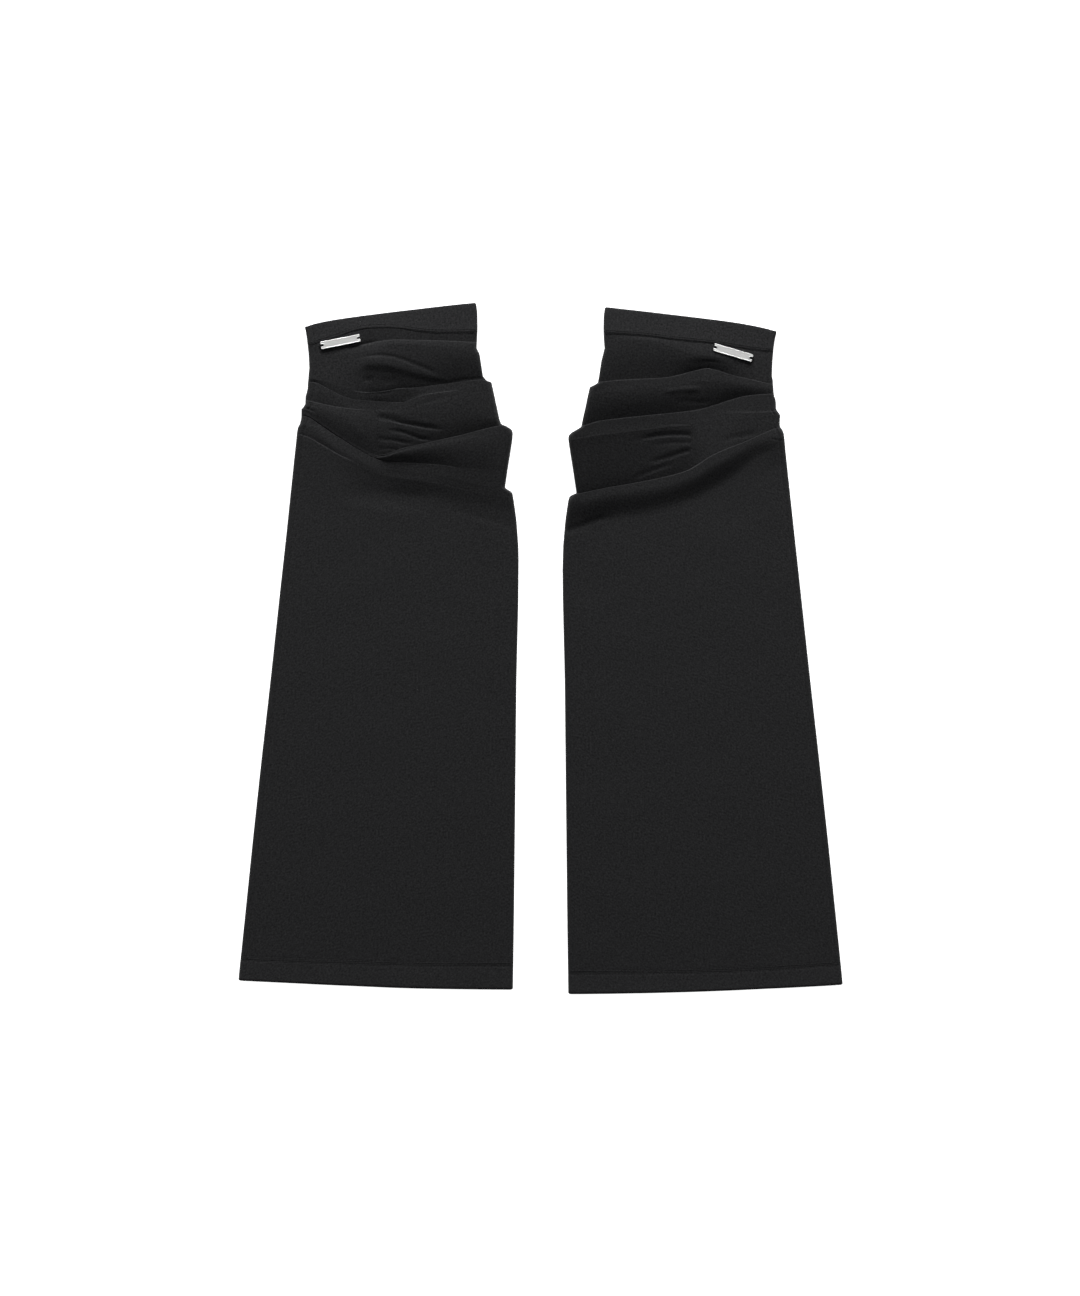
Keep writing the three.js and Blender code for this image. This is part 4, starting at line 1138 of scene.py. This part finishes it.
# %% Rows of stitches
STITCH_SPACING = 2.9
STITCH_LENGTH = 2.3
STITCH_RADIUS = 0.26
TWIN_NEEDLE = 3.2
SUNK = 0.12
GATHER_SPACING = 3.4
GATHER_LENGTH = 2.6
STITCH_MARGIN = 1.5


def stitch_line(leg, path, spacing):
    """Centres and directions of the stitches of one row on the front, in metres."""
    across, down = along_path(path, spacing)
    high = front_height(leg, across, down) + STITCH_RADIUS - SUNK
    centres = in_frame(leg["side"], across, down, high)
    return centres, np.gradient(centres, axis=0)


def sewn_row(leg, name, paths, spacing, length):
    """One piece with all the stitches of some rows, which goes with the leg warmer's cloth."""
    rows = [stitch_line(leg, path, spacing) for path in paths]
    centres, ahead = (np.concatenate([row[k] for row in rows]) for k in (0, 1))
    mesh = stitch_mesh(name, centres, ahead, length * MM, STITCH_RADIUS * MM)
    print(name, "stitches:", len(centres))
    return add_piece(mesh, black_thread)


def path_of(leg, what, shift=0.0):
    """The path of a named crease, moved down by shift and kept clear of both edges."""
    crease = next(crease for crease in leg["creases"] if crease["what"] == what)
    across, down, _ = crease_path(crease["path"])
    outer = outline_at(leg["outer_edge"], down) - STITCH_MARGIN
    inner = outline_at(leg["inner_edge"], down) + STITCH_MARGIN
    return np.clip(across, inner, outer), down + shift


for leg in LEGS:
    name = leg["name"]
    leg["sewing"] = [
        sewn_row(leg, name + "_band_stitches", [
            path_of(leg, "stitch line of the band"),
            path_of(leg, "stitch line of the band", -TWIN_NEEDLE)], STITCH_SPACING, STITCH_LENGTH),
        sewn_row(leg, name + "_hem_stitches", [
            path_of(leg, "stitch line of the hem"),
            path_of(leg, "upper stitch line of the hem")], STITCH_SPACING, STITCH_LENGTH),
        sewn_row(leg, name + "_gathering_stitches", [
            path_of(leg, "gathering line")], GATHER_SPACING, GATHER_LENGTH),
    ]

# %% [markdown]
# The bar is a flat piece of white metal with a rounded notch in each end, where the thread holds
# it. Seen up close it has a bright polished rim and a brushed field that lies a little lower.
# The outline is drawn once and repeated inwards at several distances and heights, which gives
# the side, the bevel, the rim, the step and the field. The real one carries lettering. This one
# is plain.

# %% The bar's outline
BAR_LENGTH = 37.0
BAR_WIDTH = 6.8
BAR_CORNER = 1.0
NOTCH_HALF = 1.15
NOTCH_DEPTH = 2.8
SMALLEST_CORNER = 0.12
TIP, SMALL_TIP = 0.35, 0.1
BARS = {
    "left": dict(side=-1, across=184.2, down=34.3, tilt=11.3),
    "right": dict(side=1, across=177.0, down=44.4, tilt=-16.6),
}


def arc(centre, radius, start, end, count):
    """Points of an arc of a circle, with its angles in degrees."""
    angle = np.radians(np.linspace(start, end, count))
    return np.stack([centre[0] + radius * np.cos(angle), centre[1] + radius * np.sin(angle)], axis=-1)


def bar_loop(inset):
    """The bar's outline drawn in by inset. Corners shrink by it, the notch grows, and the tips
    beside the notch get a smaller rounding where little is left between notch and side."""
    half_length, half_width = BAR_LENGTH / 2 - inset, BAR_WIDTH / 2 - inset
    corner = max(BAR_CORNER - inset, SMALLEST_CORNER)
    notch = NOTCH_HALF + inset
    bottom = BAR_LENGTH / 2 - NOTCH_DEPTH + NOTCH_HALF
    tip = TIP if half_width - notch > 2 * TIP + SMALL_TIP else SMALL_TIP
    right = np.concatenate([
        arc((half_length - corner, -half_width + corner), corner, -90, 0, 7),
        arc((half_length - tip, -notch - tip), tip, 0, 90, 4),
        arc((bottom, 0), notch, -90, -270, 13),
        arc((half_length - tip, notch + tip), tip, -90, 0, 4),
        arc((half_length - corner, half_width - corner), corner, 0, 90, 7),
    ])
    return np.concatenate([right, -right])


BAR_STEPS = [  # inset and height in mm, from the underside to the field
    (0.25, 0.0), (0.06, 0.1), (0.0, 0.3), (0.0, 1.0), (0.05, 1.12), (0.18, 1.2), (0.42, 1.2),
    (0.55, 1.14), (0.62, 1.1),
]


def on_bar(points, side, across, down, tilt):
    """Points in mm about a bar's middle, turned by its tilt and moved to its place, in metres:
    x cos(tilt) - y sin(tilt) and x sin(tilt) + y cos(tilt), plus the place."""
    angle = np.radians(tilt)
    x = side * across + points[:, 0] * np.cos(angle) - points[:, 1] * np.sin(angle)
    y = PAIR_LENGTH / 2 - down + points[:, 0] * np.sin(angle) + points[:, 1] * np.cos(angle)
    return np.stack([x, y, points[:, 2]], axis=-1) * MM


def bar_mesh(name, low, bar):
    """Loops of the outline at each step, joined by faces and closed below and above by one face,
    and the number of points in a loop."""
    loops = [bar_loop(inset) for inset, _ in BAR_STEPS]
    count = len(loops[0])
    points = np.concatenate([
        np.column_stack([loop, np.full(count, low + high)]) for loop, (_, high) in zip(loops, BAR_STEPS)])
    return new_mesh(name, on_bar(points, **bar), capped_faces(len(BAR_STEPS), count), smooth=False), count


# %% [markdown]
# Brushing leaves fine scratches along the bar. They are noise stretched along its length, on
# object coordinates that a Mapping node turns to the bar's own direction. The rim gets a weaker
# relief, and a slightly darker colour than the field: painted shade that tones down the low light
# its bevels catch.

# %% Brushed white metal
SCRATCH_LENGTH = 7.0
SCRATCH_WIDTH = 0.22


def brushing_group():
    """Fine scratches along X: a mask for the colour and the roughness, and a height."""
    tree, start, end = group(
        "Fine brushing",
        [("Along", "NodeSocketVector", None), ("Length", "NodeSocketFloat", 6.0),
         ("Width", "NodeSocketFloat", 0.12)],
        [("Mask", "NodeSocketFloat"), ("Height", "NodeSocketFloat")])
    size = node(tree, "ShaderNodeCombineXYZ")
    join(tree, start.outputs["Length"], size.inputs[0])
    join(tree, start.outputs["Width"], size.inputs[1])
    join(tree, start.outputs["Width"], size.inputs[2])
    scaled = node(tree, "ShaderNodeVectorMath", operation="DIVIDE")
    join(tree, start.outputs["Along"], scaled.inputs[0])
    join(tree, size.outputs[0], scaled.inputs[1])
    scratches = noise(tree, scaled.outputs[0], 1.0, 3.0, 0.6)
    smears = noise(tree, scaled.outputs[0], 0.2, 1.0, 0.5)
    mask = maths(tree, "MULTIPLY_ADD", smears, 0.4, maths(tree, "MULTIPLY", scratches, 0.6))
    join(tree, mask, end.inputs["Mask"])
    join(tree, scratches, end.inputs["Height"])
    return tree


brushing = brushing_group()


def metal_material(name, side, across, down, tilt, dark, light, rough, relief):
    """White metal, brushed along the bar: dark and light are the ends of its colour."""
    material, tree, shader = new_material(name)
    turned = node(tree, "ShaderNodeMapping", vector_type="TEXTURE")
    feed(tree, turned, Vector=node(tree, "ShaderNodeTexCoord").outputs["Object"],
         Location=(side * across * MM, (PAIR_LENGTH / 2 - down) * MM, 0),
         Rotation=(0, 0, np.radians(tilt)), Scale=(MM, MM, MM))
    marks = place(tree, brushing, Along=turned.outputs[0], Length=SCRATCH_LENGTH, Width=SCRATCH_WIDTH)
    base = mixed(tree, marks.outputs["Mask"], dark, light)
    roughness = maths(tree, "MULTIPLY_ADD", marks.outputs["Mask"], 0.2, rough)
    feed(tree, shader, Base_Color=base, Roughness=roughness, Metallic=1.0)
    raise_relief(tree, shader, marks.outputs["Height"], relief * MM)
    return material


# %% The two bars
# The rim's darker colours are painted shade, set against the light that its bevels catch.
RIM = dict(dark=(0.6, 0.6, 0.59, 1), light=(0.74, 0.74, 0.73, 1), rough=0.34, relief=0.01)
FIELD = dict(dark=(0.66, 0.66, 0.645, 1), light=(0.86, 0.86, 0.845, 1), rough=0.3, relief=0.03)

for name, bar in BARS.items():
    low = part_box(name + "_bar_plate")[0].z / MM
    mesh, loop = bar_mesh(name + "_silver_bar", low, bar)
    piece = add_piece(mesh)
    mesh.materials.append(metal_material(name + " bar rim", **bar, **RIM))
    mesh.materials.append(metal_material(name + " bar field", **bar, **FIELD))
    # The last face is the field, and the last sides, before both end faces, are its border.
    field = np.zeros(len(mesh.polygons), np.int32)
    field[-1] = 1
    field[-2 - loop:-2] = 1
    mesh.polygons.foreach_set("material_index", field)
    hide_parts(name + "_bar_plate")
    print(mesh.name, "faces:", len(mesh.polygons), "underside at", round(low, 2), "mm")

# %% [markdown]
# Each end of a bar is held by a few turns of thread through its notch. The strands come up from
# the cloth just beyond the end, lie in the notch and dip under its bottom.

# %% Thread in the notches
STRANDS = (-0.62, 0.0, 0.62)
STRAND_SIDES = 8
STRAND_RADIUS = 0.24
STRAND_ARCH = 0.75


def strand(start, end, steps=9):
    """A round strand along an arch: straight across from start to end, its height an upside-down
    parabola over that way, with a ring of points about each place."""
    share = np.linspace(0, 1, steps)[:, None]
    path = start * (1 - share) + end * share
    path[:, 2] += (4 * STRAND_ARCH * share * (1 - share))[:, 0]
    _, sideways, up = thread_frame(np.gradient(path, axis=0))
    turn = (2 * np.pi * np.arange(STRAND_SIDES) / STRAND_SIDES)[None, :, None]
    rings = path[:, None] + STRAND_RADIUS * (sideways[:, None] * np.cos(turn) + up[:, None] * np.sin(turn))
    return rings.reshape(-1, 3), capped_faces(steps, STRAND_SIDES)


def notch_thread(name, low, bar):
    """All strands of one bar as one mesh. Each one starts in the cloth beyond the bar's end, and
    ends in the notch. The strands of a notch lie closer together there."""
    points, faces, base = [], [], 0
    for end in (-1, 1):
        for offset in STRANDS:
            outside = np.array([end * (BAR_LENGTH / 2 + 1.3), offset * 1.25, low - 0.2])
            bottom = np.array([end * (BAR_LENGTH / 2 - NOTCH_DEPTH + 0.35), offset * 0.8, low + 0.3])
            rings, ring_faces = strand(outside, bottom)
            points.append(rings)
            faces += [[a + base for a in face] for face in ring_faces]
            base += len(rings)
    return new_mesh(name, on_bar(np.concatenate(points), **bar), faces)


for leg in LEGS:
    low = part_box(leg["name"] + "_bar_plate")[0].z / MM
    mesh = notch_thread(leg["name"] + "_bar_thread", low, BARS[leg["name"]])
    leg["sewing"].append(add_piece(mesh, black_thread))
    print(mesh.name, "faces:", len(mesh.polygons))

# %% [markdown]
# The pair lies on a pale table. It is pure white in the photograph, so the floor glows as well,
# almost as brightly as white paper in the light, and hardly any shadow shows round the cloth.

# %% The table
bpy.ops.mesh.primitive_plane_add(size=8, location=(0, 0, -0.0006))
floor = bpy.context.object
floor.name = "table"
paper, paper_tree, paper_shader = new_material("white paper")
feed(paper_tree, paper_shader, Base_Color=(0.9, 0.9, 0.9, 1), Roughness=0.9, Specular_IOR_Level=0.1,
     Emission_Color=(1, 1, 1, 1), Emission_Strength=0.95)
floor.data.materials.append(paper)

# %% [markdown]
# The folds are lit by one large soft light low over the tops, which brightens each crest and
# leaves the slopes behind it dark. A wide light overhead fills the rest and shows in the metal.
# Two faint strips beside the pair lighten the rolled outer edges. Sizes and places are in metres.

# %% Lights
LIGHT_RISE = 17
LIGHT_AWAY = 4.2


def soft_light(name, place_at, width, length, watts):
    """A rectangular light that faces the middle of the pair and doesn't show itself."""
    light = bpy.data.lights.new(name, "AREA")
    light.shape = "RECTANGLE"
    light.size, light.size_y, light.energy = width, length, watts
    lamp = bpy.data.objects.new(name, light)
    lamp.location = place_at
    lamp.rotation_mode = "QUATERNION"
    lamp.rotation_quaternion = (-Vector(place_at)).to_track_quat("-Z", "Y")
    lamp.visible_camera = False
    bpy.context.scene.collection.objects.link(lamp)
    return lamp


rise = np.radians(LIGHT_RISE)
soft_light("low light over the tops", (0, LIGHT_AWAY * np.cos(rise), LIGHT_AWAY * np.sin(rise)),
           width=3.0, length=1.1, watts=396)
soft_light("overhead light", (0, 0.02, 3.4), width=1.8, length=1.8, watts=13.5)
for side, name in ((-1, "left"), (1, "right")):
    soft_light(name + " side light", (side * 0.75, 0, 0.12), width=0.9, length=0.1, watts=0.6)
world = bpy.data.worlds.new("pale room")
bpy.context.scene.world = world
world.use_nodes = True
world.node_tree.nodes["Background"].inputs["Color"].default_value = (0.92, 0.95, 1.0, 1)
world.node_tree.nodes["Background"].inputs["Strength"].default_value = 0.08
bpy.context.scene.view_settings.view_transform = "Standard"

# %% [markdown]
# The camera looks straight down on the middle of the photograph's frame. A long lens keeps both
# warmers free of perspective, and its height is worked out so that the frame's longer side takes
# in as many millimetres as the photograph does.

# %% Camera
PHOTO_WIDTH = 1080
PHOTO_HEIGHT = 1296
LENS = 90.0
SENSOR = 36.0
CLOTH_HEIGHT = 6.0
camera_data = bpy.data.cameras.new("camera")
camera_data.lens = LENS
camera_data.sensor_width = SENSOR
camera = bpy.data.objects.new("camera", camera_data)
frame_x = (PHOTO_WIDTH / 2 - PHOTO_MIDDLE) * MM_PER_PIXEL
frame_y = PAIR_LENGTH / 2 - (PHOTO_HEIGHT / 2 - PHOTO_TOP) * MM_PER_PIXEL
height = PHOTO_HEIGHT * MM_PER_PIXEL * LENS / SENSOR + CLOTH_HEIGHT
camera.location = (frame_x * MM, frame_y * MM, height * MM)
bpy.context.scene.collection.objects.link(camera)
bpy.context.scene.camera = camera
print("camera height:", round(height), "mm")

# %% Update the scene
bpy.context.view_layer.update()
